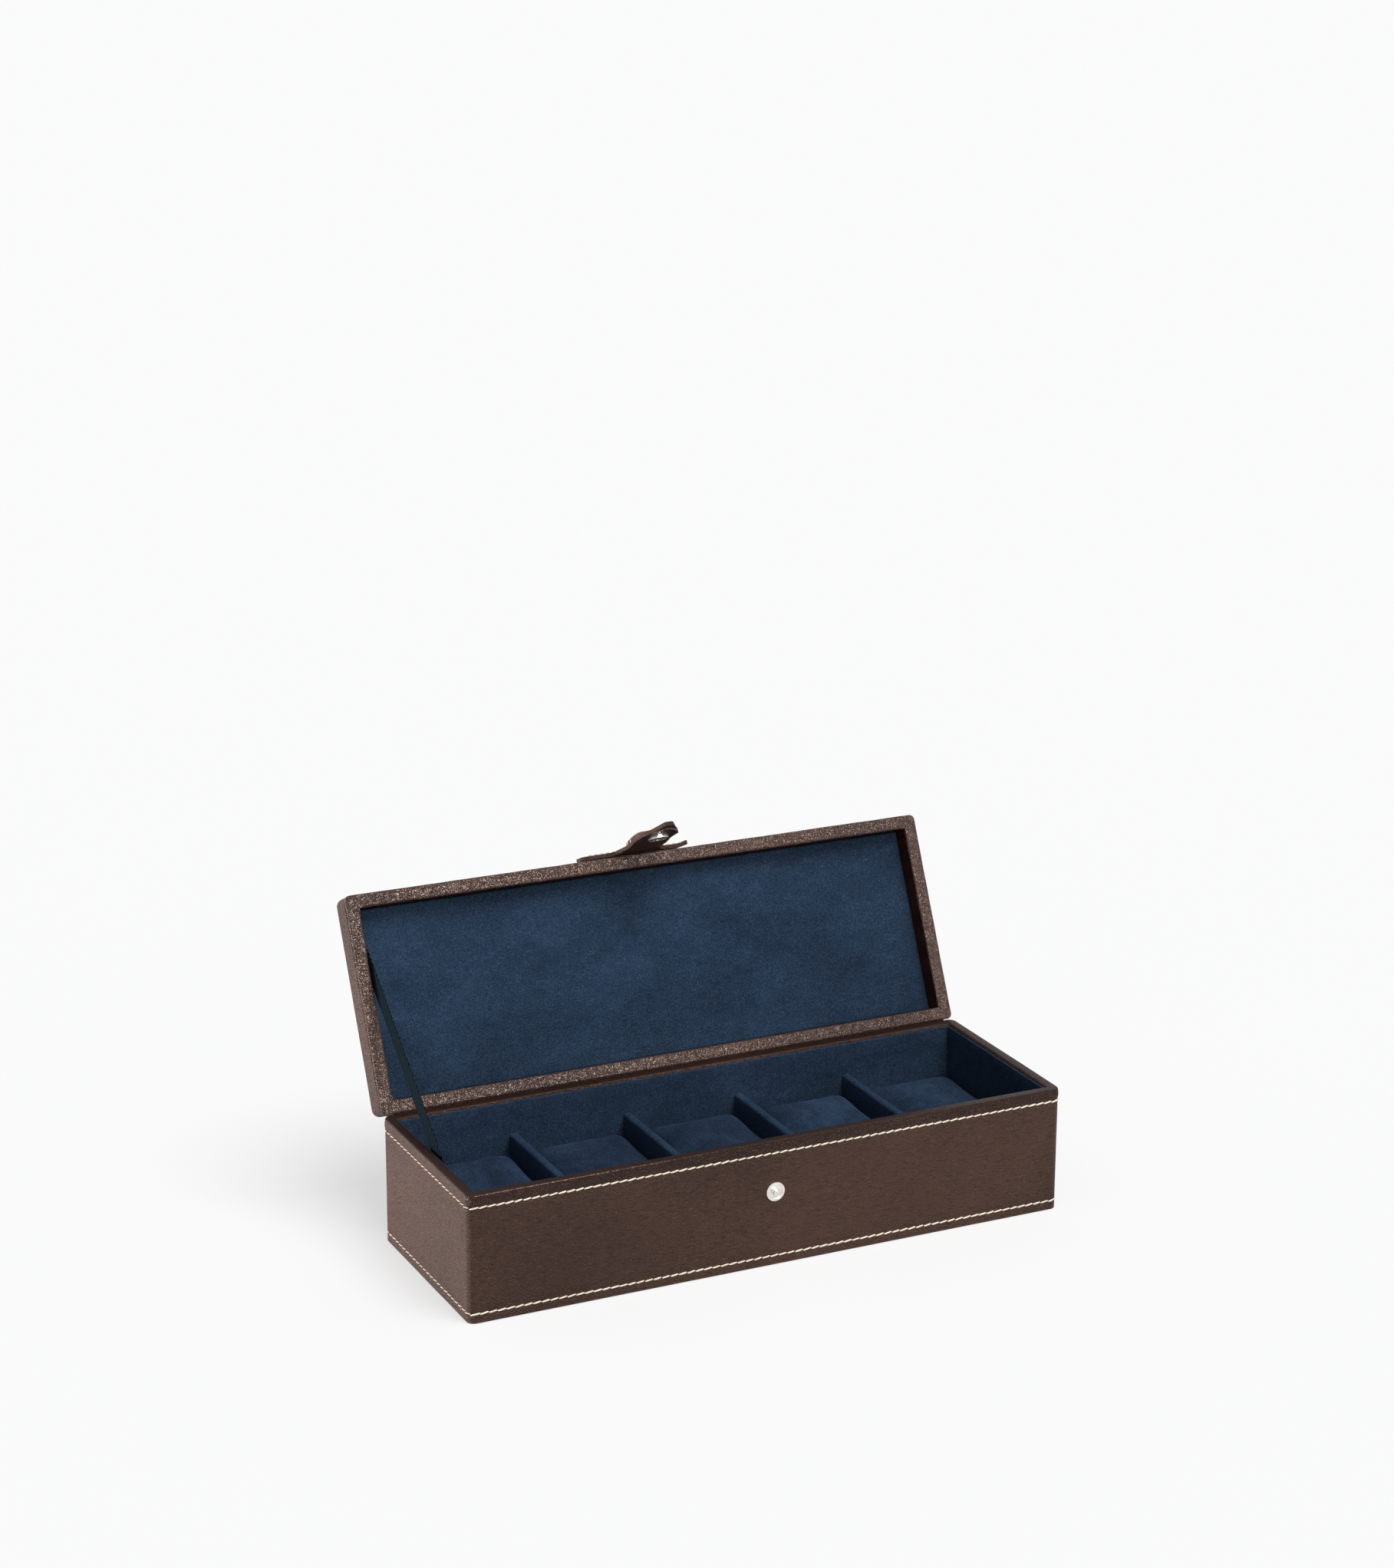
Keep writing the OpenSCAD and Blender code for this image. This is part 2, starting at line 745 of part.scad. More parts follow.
// a crowned closed form whose sides draw in between its corners
module cushion_form() {
    around = 36;
    squareness = 0.42;
    rings = cushion_rings();
    points = concat([for (r = rings, i = [0 : around - 1]) let (
            t = 360 * i / around,
            x = power(cos(t), squareness),
            y = power(sin(t), squareness),
            pull = r[2] / cushion_h)
            [(cushion_w / 2 - r[0]) * x - cushion_draw * pull * sign(x) * (1 - y * y) * abs(x),
                (cushion_l / 2 - r[1]) * y - cushion_draw * pull * sign(y) * (1 - x * x) * abs(y), r[2]]],
        [[0, 0, rings[0][2]], [0, 0, cushion_h]]);
    count = len(rings);
    foot = count * around;
    faces = concat(
        [for (k = [0 : count - 2], i = [0 : around - 1]) let (j = (i + 1) % around)
            [k * around + i, (k + 1) * around + i, (k + 1) * around + j]],
        [for (k = [0 : count - 2], i = [0 : around - 1]) let (j = (i + 1) % around)
            [k * around + i, (k + 1) * around + j, k * around + j]],
        [for (i = [0 : around - 1]) [foot, i, (i + 1) % around]],
        [for (i = [0 : around - 1]) [foot + 1, (count - 1) * around + (i + 1) % around, (count - 1) * around + i]]);
    polyhedron(points, faces);
}

module cushion(n) {
    color(suede_color) translate([(n - 3) * pitch, 0, lining_z + cushion_foot_gap]) cushion_form();
}

module cushion_1() {
    cushion(1);
}

module cushion_2() {
    cushion(2);
}

module cushion_3() {
    cushion(3);
}

module cushion_4() {
    cushion(4);
}

module cushion_5() {
    cushion(5);
}

base_floor_board();
base_front_board();
base_back_board();
base_left_board();
base_right_board();
base_leather_cover();
base_bottom_leather();
floor_lining();
front_lining();
back_lining();
left_lining();
right_lining();
divider_1();
divider_2();
divider_3();
divider_4();
snap_stud();
snap_stud_backing();
hinge_leather_lower();
ribbon_stay();
lid_top_board();
lid_front_rail();
lid_back_rail();
lid_left_rail();
lid_right_rail();
lid_leather_cover();
lid_rim_front();
lid_rim_back();
lid_rim_left();
lid_rim_right();
lid_lining();
closure_anchor();
hinge_leather_upper();
closure_tab();
closure_tab_cover();
snap_socket();
snap_cap();
cushion_1();
cushion_2();
cushion_3();
cushion_4();
cushion_5();
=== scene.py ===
import math
import random

import bmesh
import bpy
from mathutils import Matrix, Vector


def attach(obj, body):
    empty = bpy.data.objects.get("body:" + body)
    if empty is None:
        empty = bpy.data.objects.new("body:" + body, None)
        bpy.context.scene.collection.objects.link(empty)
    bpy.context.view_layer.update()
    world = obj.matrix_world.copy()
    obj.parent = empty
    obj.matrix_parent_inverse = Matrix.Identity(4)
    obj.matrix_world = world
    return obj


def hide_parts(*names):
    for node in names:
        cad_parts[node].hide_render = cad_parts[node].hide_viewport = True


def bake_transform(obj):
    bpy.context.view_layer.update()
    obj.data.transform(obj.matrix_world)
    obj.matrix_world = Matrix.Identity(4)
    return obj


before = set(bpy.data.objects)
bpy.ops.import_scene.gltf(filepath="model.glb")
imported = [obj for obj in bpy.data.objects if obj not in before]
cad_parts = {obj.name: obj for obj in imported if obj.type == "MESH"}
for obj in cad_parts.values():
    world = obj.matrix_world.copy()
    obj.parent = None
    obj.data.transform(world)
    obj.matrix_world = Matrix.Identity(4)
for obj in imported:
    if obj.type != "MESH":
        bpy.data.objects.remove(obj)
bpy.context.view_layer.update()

MM = 0.001

# the box's own sizes
CASE_LENGTH = 330 * MM
CASE_DEPTH = 113 * MM
CASE_HEIGHT = 67 * MM
HALF_LENGTH = CASE_LENGTH / 2
HALF_DEPTH = CASE_DEPTH / 2
RIM_GAP = 0.3 * MM
RIM_HEIGHT = CASE_HEIGHT + RIM_GAP
LID_OPEN = math.radians(115)
HINGE = Vector((0, HALF_DEPTH, CASE_HEIGHT + RIM_GAP / 2))
TAB_AXIS = Vector((0, -HALF_DEPTH - 2.4 * MM, RIM_HEIGHT + 1 * MM))
TAB_LIFT = math.radians(4.5)
CUSHION_PITCH = 64.24 * MM
FLOOR_LINING_TOP = 5.7 * MM
TINY = 0.01 * MM


def turned_back(axis, angle):
    """A turn backwards about a line that runs along x through a point."""
    return Matrix.Translation(axis) @ Matrix.Rotation(-angle, 4, "X") @ Matrix.Translation(-axis)


# the shut lid and tab are drawn in place, then turned to where they rest
LID_TURN = turned_back(HINGE, LID_OPEN)
TAB_TURN = LID_TURN @ turned_back(TAB_AXIS, TAB_LIFT)


# ---------- materials ----------

def srgb(r, g, b):
    """A colour as it is read off a swatch, 0 to 255, for a shader socket."""
    shares = (c / 255 for c in (r, g, b))
    return tuple(((v + 0.055) / 1.055) ** 2.4 if v > 0.04 else v / 12.92 for v in shares) + (1.0,)


class NodeWork:
    """Puts nodes into a tree and links them."""

    def __init__(self, tree):
        self.nodes, self.links = tree.nodes, tree.links

    def feed(self, socket, value):
        """Links what another node gives, or sets a plain value."""
        if isinstance(value, bpy.types.NodeSocket):
            self.links.new(value, socket)
        else:
            socket.default_value = value

    def node(self, kind, inputs, **settings):
        """A new node with its settings, and what goes into it by the name or number of the input."""
        node = self.nodes.new("ShaderNode" + kind)
        for name, value in settings.items():
            setattr(node, name, value)
        for key, value in inputs.items():
            self.feed(node.inputs[key], value)
        return node

    def reckon(self, operation, *terms):
        return self.node("Math", dict(enumerate(terms)), operation=operation).outputs["Value"]

    def seen(self):
        """1 where a surface is seen straight, in a reflection or through glass, 0 where it only gives light."""
        rays = self.node("LightPath", {}).outputs
        straight_or_reflected = self.reckon("MAXIMUM", rays["Is Camera Ray"], rays["Is Glossy Ray"])
        return self.reckon("MAXIMUM", straight_or_reflected, rays["Is Transmission Ray"])


class Finish(NodeWork):
    """A material under construction: its nodes, links and main shader."""

    def __init__(self, name):
        self.material = bpy.data.materials.new(name)
        self.material.use_nodes = True
        super().__init__(self.material.node_tree)
        self.shader = self.nodes["Principled BSDF"]
        self.place = self.node("TexCoord", {}).outputs["Object"]

    def stretched(self, scale):
        return self.node("Mapping", {"Scale": scale, "Vector": self.place}).outputs["Vector"]

    def warped(self, scale, reach):
        """Object coordinates pushed about a little, so that cells lose their straight sides."""
        wander = self.node("TexNoise", {"Scale": scale, "Detail": 1.0, "Vector": self.place}).outputs["Color"]
        terms = {0: wander, 1: (reach, reach, reach), 2: self.place}
        return self.node("VectorMath", terms, operation="MULTIPLY_ADD").outputs["Vector"]

    def along(self, axis):
        return self.node("SeparateXYZ", {"Vector": self.place}).outputs[axis]

    def noise(self, scale, detail=3.0, roughness=0.5, distortion=0.0, place=None):
        inputs = {"Scale": scale, "Detail": detail, "Roughness": roughness, "Distortion": distortion,
                  "Vector": place or self.place}
        return self.node("TexNoise", inputs).outputs["Fac"]

    def cells(self, scale, feature, place):
        return self.node("TexVoronoi", {"Scale": scale, "Vector": place}, feature=feature).outputs["Distance"]

    def spread(self, value, low, high, to_low=0.0, to_high=1.0):
        """Carries low to to_low and high to to_high, eased at both ends."""
        inputs = {"Value": value, "From Min": low, "From Max": high, "To Min": to_low, "To Max": to_high}
        return self.node("MapRange", inputs, interpolation_type="SMOOTHSTEP").outputs["Result"]

    def sum(self, first, second, weight=1.0):
        return self.reckon("MULTIPLY_ADD", second, weight, first)

    def product(self, first, second):
        return self.reckon("MULTIPLY", first, second)

    def off_middle(self, value):
        """How far a noise is from its middle: 0 along thin wandering lines."""
        return self.reckon("ABSOLUTE", self.reckon("SUBTRACT", value, 0.5))

    def colours(self, value, *stops):
        ramp = self.node("ValToRGB", {"Fac": value})
        elements = ramp.color_ramp.elements
        while len(elements) < len(stops):
            elements.new(0.5)
        for element, (position, colour) in zip(elements, stops):
            element.position = position
            element.color = colour
        return ramp.outputs["Color"]

    def mixed(self, share, first, second):
        """The first colour where the share is 0, the second where it is 1."""
        return self.node("Mix", {"Factor": share, 6: first, 7: second}, data_type="RGBA").outputs[2]

    def relief(self, height, depth, strength=1.0):
        bump = self.node("Bump", {"Height": height, "Distance": depth, "Strength": strength})
        self.set(Normal=bump.outputs["Normal"])

    def set(self, **sockets):
        """Sets or links inputs of the main shader."""
        for name, value in sockets.items():
            self.feed(self.shader.inputs[name.replace("_", " ")], value)


def pebbles(leather, scale):
    """Small domes, and the seams between them."""
    warped = leather.warped(scale * 0.7, 0.7 / scale)
    domes = leather.spread(leather.cells(scale, "F1", warped), 0.05, 0.8, 1.0, 0.0)
    return domes, leather.spread(leather.cells(scale, "DISTANCE_TO_EDGE", warped), 0.0, 0.17)


def wrinkles(leather, scale):
    """Wandering folds in two sizes, and the lines between them."""
    folds = leather.noise(scale * 0.62, 2.0, 0.6, 0.9)
    small = leather.noise(scale * 1.2, 2.0, 0.6, 0.6)
    lines = leather.product(leather.spread(leather.off_middle(folds), 0.0, 0.06, 0.1, 1.0),
                            leather.spread(leather.off_middle(small), 0.0, 0.05, 0.45, 1.0))
    return leather.sum(folds, small, 0.5), lines


def roll_over_rim(leather, height, colour, seams, cloud):
    """Over the case's rim: pebblier in front and darker there, which is painted shade; smooth on top and
    darker, redder there, also painted shade; and a painted highlight along the front top edge.
    """
    level, depthwise = leather.along("Z"), leather.along("Y")
    band = leather.product(leather.spread(level, 61 * MM, 62.2 * MM),
                           leather.spread(depthwise, -55.4 * MM, -54.6 * MM, 1.0, 0.0))
    top = leather.spread(level, 66.35 * MM, 66.75 * MM)
    # painted highlight: a pale broken line along the front top edge, fading to the right, standing for a lamp's
    # glint there
    painted_glint = leather.product(leather.spread(level, 66.3 * MM, 66.6 * MM), leather.noise(800.0, 3.0, 0.7))
    painted_glint = leather.product(painted_glint, leather.spread(depthwise, -56.2 * MM, -56.0 * MM, 1.0, 0.0))
    painted_glint = leather.product(painted_glint, leather.spread(leather.along("X"), -150 * MM, 60 * MM, 1.0, 0.6))
    height = leather.product(height, leather.spread(band, 0.0, 1.0, 0.55, 1.5))
    height = leather.product(height, leather.spread(top, 0.0, 1.0, 1.0, 0.25))
    # painted shade: above the front stitching the colour is pulled toward darker seams; the stronger relief
    # there is real
    painted_band_shade = leather.mixed(leather.spread(seams, 0.2, 0.8), srgb(28, 13, 8), colour)
    colour = leather.mixed(leather.spread(band, 0.0, 1.0, 0.0, 0.75), colour, painted_band_shade)
    # painted shade: the tops of the walls are given a darker, redder colour; their smoother relief is real
    painted_top_shade = leather.colours(cloud, (0.3, srgb(23, 9, 5)), (0.7, srgb(33, 15, 9)))
    colour = leather.mixed(top, colour, painted_top_shade)
    return height, leather.mixed(leather.spread(painted_glint, 0.4, 0.55, 0.0, 0.9), colour, srgb(168, 138, 122))


def make_leather(name, dark, light, pebble, depth, roughness, shine, seam, crease,
                 wrinkled=False, rolled=False):
    """Leather: domed pebbles or wrinkles with dark seams between them, and fine creases lying level."""
    leather = Finish(name)
    domes, seams = wrinkles(leather, pebble) if wrinkled else pebbles(leather, pebble)
    hairs = leather.noise(560.0, 3.0, 0.6, 0.3, leather.stretched((0.42, 0.42, 2.4)))
    creases = leather.spread(hairs, 0.38, 0.5)
    grain = leather.sum(leather.sum(seams, domes), leather.noise(pebble * 2.2, 2.0), 0.35)
    height = leather.sum(grain, creases, crease * 2.0)
    cloud = leather.noise(11.0, 3.0, 0.5)
    by_cloud, by_seam, by_crease, by_speck = 0.4, seam * 0.5, crease * 0.8, 0.2
    tone = leather.sum(leather.spread(cloud, 0.3, 0.7, 0.0, by_cloud), seams, by_seam)
    tone = leather.sum(leather.sum(tone, creases, by_crease), leather.noise(700.0, 2.0), by_speck)
    most = by_cloud + by_seam + by_crease + by_speck
    colour = leather.colours(leather.spread(tone, 0.2 * most, most), (0.0, dark), (1.0, light))
    if rolled:
        height, colour = roll_over_rim(leather, height, colour, seams, cloud)
    leather.set(Base_Color=colour)
    leather.set(Roughness=leather.spread(grain, 0.5, 2.2, roughness + 0.14, roughness - 0.06))
    leather.relief(height, depth)
    leather.set(Specular_IOR_Level=shine, Specular_Tint=(1.0, 0.82, 0.74, 1.0))
    return leather.material


def make_suede(name, dark, middle, light, streaks, more_cloud=0.0):
    """Brushed suede: a fine speckle of fibre ends, and very soft clouds where the nap lies another way."""
    suede = Finish(name)
    clouds = suede.noise(16.0, 4.0, 0.6, 0.6, suede.stretched(streaks))
    strokes = suede.noise(120.0, 3.0, 0.6, 0.4, suede.stretched(streaks))
    fibres = suede.noise(1250.0, 3.0, 0.7)
    nap = suede.sum(suede.sum(fibres, clouds, 0.45 + more_cloud), strokes, 0.2)
    nap = suede.sum(nap, suede.noise(2300.0, 2.0, 0.7), 0.5)
    tone = suede.spread(nap, 0.62 + more_cloud * 0.3, 1.54 + more_cloud * 0.7)
    suede.set(Base_Color=suede.colours(tone, (0.1, dark), (0.5, middle), (0.9, light)))
    suede.relief(suede.sum(fibres, strokes, 0.6), 0.00022, 0.8)
    suede.set(Roughness=0.95, Specular_IOR_Level=0.05, Sheen_Weight=0.08, Sheen_Roughness=0.4)
    suede.set(Sheen_Tint=srgb(120, 145, 180))
    return suede.material


def make_ribbon_twill():
    """A fine diagonal twill with a rib every 2 mm, laid out by the ribbon's own UVs in metres."""
    twill = Finish("ribbon_twill")
    run = twill.node("UVMap", {}, uv_map="weave").outputs["UV"]
    turned = twill.node("Mapping", {"Rotation": (0, 0, math.radians(38)), "Vector": run}).outputs["Vector"]
    ribs = twill.node("TexWave", {"Scale": 160, "Distortion": 0.3, "Vector": turned}).outputs["Fac"]
    shade = twill.sum(ribs, twill.noise(300.0, 2.0), 0.3)
    twill.set(Base_Color=twill.colours(shade, (0.3, srgb(1, 4, 6)), (0.95, srgb(20, 32, 38))))
    twill.relief(ribs, 0.00016)
    twill.set(Roughness=0.9, Specular_IOR_Level=0.02)
    return twill.material


def make_nickel():
    """Polished nickel with light wear."""
    nickel = Finish("polished_nickel")
    wear = nickel.noise(500.0, 3.0)
    colour = nickel.colours(wear, (0.3, (0.72, 0.69, 0.64, 1)), (0.7, (0.82, 0.80, 0.76, 1)))
    nickel.set(Roughness=nickel.spread(wear, 0.3, 0.7, 0.16, 0.28), Base_Color=colour)
    nickel.relief(nickel.noise(1500.0, 2.0), 0.00001, 0.5)
    nickel.set(Metallic=1.0)
    return nickel.material


def make_thread(name, dark, light):
    """Waxed thread, its twist no more than a speckle."""
    thread = Finish(name)
    twist = thread.noise(2600.0, 2.0)
    thread.set(Base_Color=thread.colours(twist, (0.3, dark), (0.7, light)))
    thread.relief(twist, 0.00008)
    thread.set(Roughness=0.7, Sheen_Weight=0.15)
    return thread.material


def make_board():
    """The fibreboard under leather and suede."""
    board = Finish("fibreboard")
    fibres = board.noise(600.0, 4.0)
    board.set(Base_Color=board.colours(fibres, (0.3, srgb(150, 122, 88)), (0.7, srgb(178, 148, 110))))
    board.relief(fibres, 0.0001)
    board.set(Roughness=0.85)
    return board.material


BROWN = srgb(46, 26, 19), srgb(74, 49, 40)
case_leather = make_leather("case_leather", *BROWN, pebble=1050, depth=0.00028, roughness=0.4, shine=0.2,
                            seam=0.25, crease=0.5, rolled=True)
brown_leather = make_leather("brown_leather", *BROWN, pebble=1050, depth=0.00022, roughness=0.42, shine=0.22,
                             seam=0.4, crease=0.3)
# the rim's strong contrast of light pebbles and dark seams is partly the leather's grain and partly painted
# highlight on the pebbles and painted shade in the seams
rim_leather = make_leather("rim_leather", srgb(25, 11, 8), srgb(88, 58, 48), pebble=900, depth=0.00034,
                           roughness=0.36, shine=0.5, seam=1.6, crease=0.1, wrinkled=True)
recess_leather = make_leather("recess_leather", srgb(44, 23, 16), srgb(64, 36, 27), pebble=1300, depth=0.00006,
                              roughness=0.5, shine=0.1, seam=0.3, crease=0.2)
tab_leather = make_leather("tab_leather", srgb(44, 23, 16), srgb(72, 43, 33), pebble=1100, depth=0.00010,
                           roughness=0.38, shine=0.22, seam=0.3, crease=0.3)
edge_leather = make_leather("edge_leather", srgb(38, 20, 14), srgb(62, 38, 29), pebble=1600, depth=0.00008,
                            roughness=0.5, shine=0.18, seam=0.3, crease=0.3)
# painted shade: the hinge leather is darker and less shiny than the rest, as it lies in shade under the lid's
# rim
hinge_leather = make_leather("hinge_leather", srgb(22, 9, 5), srgb(38, 17, 11), pebble=1000, depth=0.00010,
                             roughness=0.45, shine=0.06, seam=0.3, crease=0.3)
navy_suede = make_suede("navy_suede", srgb(17, 29, 44), srgb(35, 52, 72), srgb(56, 77, 102), (1, 1, 1.6))
cushion_suede = make_suede("cushion_suede", srgb(10, 18, 30), srgb(27, 41, 59), srgb(51, 71, 96), (1.6, 1, 1),
                           more_cloud=0.3)
ribbon_twill = make_ribbon_twill()
polished_nickel = make_nickel()
cream_thread = make_thread("cream_thread", srgb(212, 196, 170), srgb(250, 242, 224))
# a darker copy of the cream thread for the rows on the ends: painted shade, against the stronger light on the
# end faces
end_thread_painted_shade = make_thread("end_thread_painted_shade", srgb(158, 138, 114), srgb(196, 178, 154))
brown_thread = make_thread("brown_thread", srgb(96, 72, 60), srgb(128, 100, 86))
fibreboard = make_board()


def dress(names, material):
    """Gives a finish to CAD nodes that are kept as they are."""
    for name in names:
        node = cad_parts[name]
        node.data.materials.clear()
        node.data.materials.append(material)


dress([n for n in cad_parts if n.endswith(("board", "rail"))], fibreboard)
dress(["base_bottom_leather"], hinge_leather)
dress([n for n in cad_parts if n.startswith("snap")], polished_nickel)


# ---------- making pieces ----------

def start_piece():
    """Object mode with nothing selected, so a new primitive is the only thing worked on."""
    if bpy.context.object and bpy.context.object.mode != "OBJECT":
        bpy.ops.object.mode_set(mode="OBJECT")
    bpy.ops.object.select_all(action="DESELECT")


def take_up(piece):
    """The piece alone is selected and active."""
    start_piece()
    bpy.context.view_layer.objects.active = piece
    piece.select_set(True)


def settle():
    """Writes place, turn and size into the mesh, so that the object itself stands at the origin."""
    bpy.ops.object.transform_apply(location=True, rotation=True, scale=True)


def add_block(low, high):
    """A block between two corners, the start of most pieces."""
    start_piece()
    middle = [(a + b) / 2 for a, b in zip(low, high)]
    size = [b - a for a, b in zip(low, high)]
    bpy.ops.mesh.primitive_cube_add(size=1, location=middle, scale=size)
    settle()
    return bpy.context.object


def shape(piece):
    """Opens the piece for shaping, with nothing selected."""
    take_up(piece)
    bpy.ops.object.mode_set(mode="EDIT")
    bpy.ops.mesh.select_all(action="DESELECT")


def leave():
    """Ends the shaping."""
    bpy.ops.object.mode_set(mode="OBJECT")


def pick(kind, test):
    """Selects the faces, edges or corners of the piece in hand that pass the test."""
    bpy.ops.mesh.select_mode(type=kind)
    bpy.ops.mesh.select_all(action="DESELECT")
    mesh = bpy.context.edit_object.data
    work = bmesh.from_edit_mesh(mesh)
    if kind == "FACE":
        for face in work.faces:
            face.select_set(test(face.calc_center_median(), face.normal))
    elif kind == "EDGE":
        for edge in work.edges:
            edge.select_set(test(edge.verts[0].co, edge.verts[1].co))
    else:
        for corner in work.verts:
            corner.select_set(test(corner.co))
    work.select_flush_mode()
    bmesh.update_edit_mesh(mesh)


def slice_through(point, normal, cut_off=False):
    """Cuts the piece in hand along a plane; cut_off takes away what lies beyond it and closes the cut."""
    bpy.ops.mesh.select_all(action="SELECT")
    bpy.ops.mesh.bisect(plane_co=point, plane_no=normal, clear_outer=cut_off, use_fill=cut_off)


def cut_across(axis, places):
    """Cuts the piece in hand right through at each place along an axis."""
    normal = [1.0 if i == axis else 0.0 for i in range(3)]
    for place in places:
        slice_through([place if i == axis else 0.0 for i in range(3)], normal)


def cut_evenly(axis, step, reach):
    """Cuts it at even steps from its middle, as far as the reach to either side."""
    most = int(reach / step)
    cut_across(axis, [k * step for k in range(-most, most + 1)])


def push(x=0.0, y=0.0, z=0.0):
    """Moves what is selected."""
    bpy.ops.transform.translate(value=(x, y, z))


def pull_out(x=0.0, y=0.0, z=0.0):
    """Grows new faces out of what is selected."""
    bpy.ops.mesh.extrude_region_move(TRANSFORM_OT_translate={"value": (x, y, z)})


def start_strip(width):
    """One edge, to be drawn out into a strip; it lies along x."""
    start_piece()
    bpy.ops.mesh.primitive_plane_add(size=width, location=(0, 0, 0))
    strip = bpy.context.object
    shape(strip)
    pick("VERT", lambda c: c.y > 0)
    bpy.ops.mesh.delete(type="VERT")
    return strip


def draw_through(stops):
    """Draws the edge in hand out from stop to stop."""
    bpy.ops.mesh.select_mode(type="EDGE")
    for before, after in zip(stops, stops[1:]):
        pull_out(*(after - before))


def face_outwards(piece):
    shape(piece)
    bpy.ops.mesh.select_all(action="SELECT")
    bpy.ops.mesh.normals_make_consistent(inside=False)
    leave()


def copied(piece):
    """Another of the same piece, with a mesh of its own."""
    twin = piece.copy()
    twin.data = piece.data.copy()
    bpy.context.scene.collection.objects.link(twin)
    return twin


def apply_modifier(piece, kind, **settings):
    take_up(piece)
    modifier = piece.modifiers.new(kind.title(), kind)
    for name, value in settings.items():
        setattr(modifier, name, value)
    bpy.ops.object.modifier_apply(modifier=modifier.name)


def hand_made(piece, size, depth):
    """Small unevenness, as hand-covered leather and padding have."""
    clouds = bpy.data.textures.new(f"{piece.name}_unevenness", "CLOUDS")
    clouds.noise_scale = size
    clouds.noise_depth = 1
    apply_modifier(piece, "DISPLACE", texture=clouds, strength=depth, mid_level=0.5, texture_coords="LOCAL")


def finish_piece(piece, name, material, turn=None, smooth=40):
    """Names a piece, turns it to where it rests and leaves its object at the origin."""
    take_up(piece)
    piece.name = name
    piece.data.name = name
    settle()
    if turn is not None:
        piece.matrix_world = turn
        settle()
    piece.data.materials.clear()
    piece.data.materials.append(material)
    bpy.ops.object.shade_smooth_by_angle(angle=math.radians(smooth))
    return piece


def copy_of_node(name):
    """A copy of a CAD node's mesh, its loose triangles merged."""
    copy = copied(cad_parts[name])
    copy.parent = None
    for key in [k for k in copy.keys() if k.startswith("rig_")]:
        del copy[key]
    copy.matrix_world = Matrix.Identity(4)
    shape(copy)
    bpy.ops.mesh.select_all(action="SELECT")
    bpy.ops.mesh.remove_doubles(threshold=0.005 * MM)
    leave()
    return copy


def in_lid_front(x, down, out):
    """A point on the shut lid's front: down from the rim and out of the face."""
    return Vector((x, -HALF_DEPTH - out, RIM_HEIGHT - down))


def on_lid(x, down, out):
    """The same point once the lid is open."""
    return LID_TURN @ in_lid_front(x, down, out)


# ---------- the case's leather ----------

CORNER_RADIUS = 4 * MM
LEATHER = 1 * MM
WALL_TOP = 5.5 * MM
TURN_IN = 9 * MM
SKIN_BOTTOM = 0.3 * MM
UPPER_STITCH = 60.5 * MM
LOWER_STITCH = 5.1 * MM


def round_uprights(low, high, radius):
    """Rounds the four upright corners of a block that stands between two heights."""
    pick("EDGE", lambda a, b: abs(a.z - b.z) > (high - low) / 2)
    bpy.ops.mesh.bevel(offset=radius, segments=6, affect="EDGES")


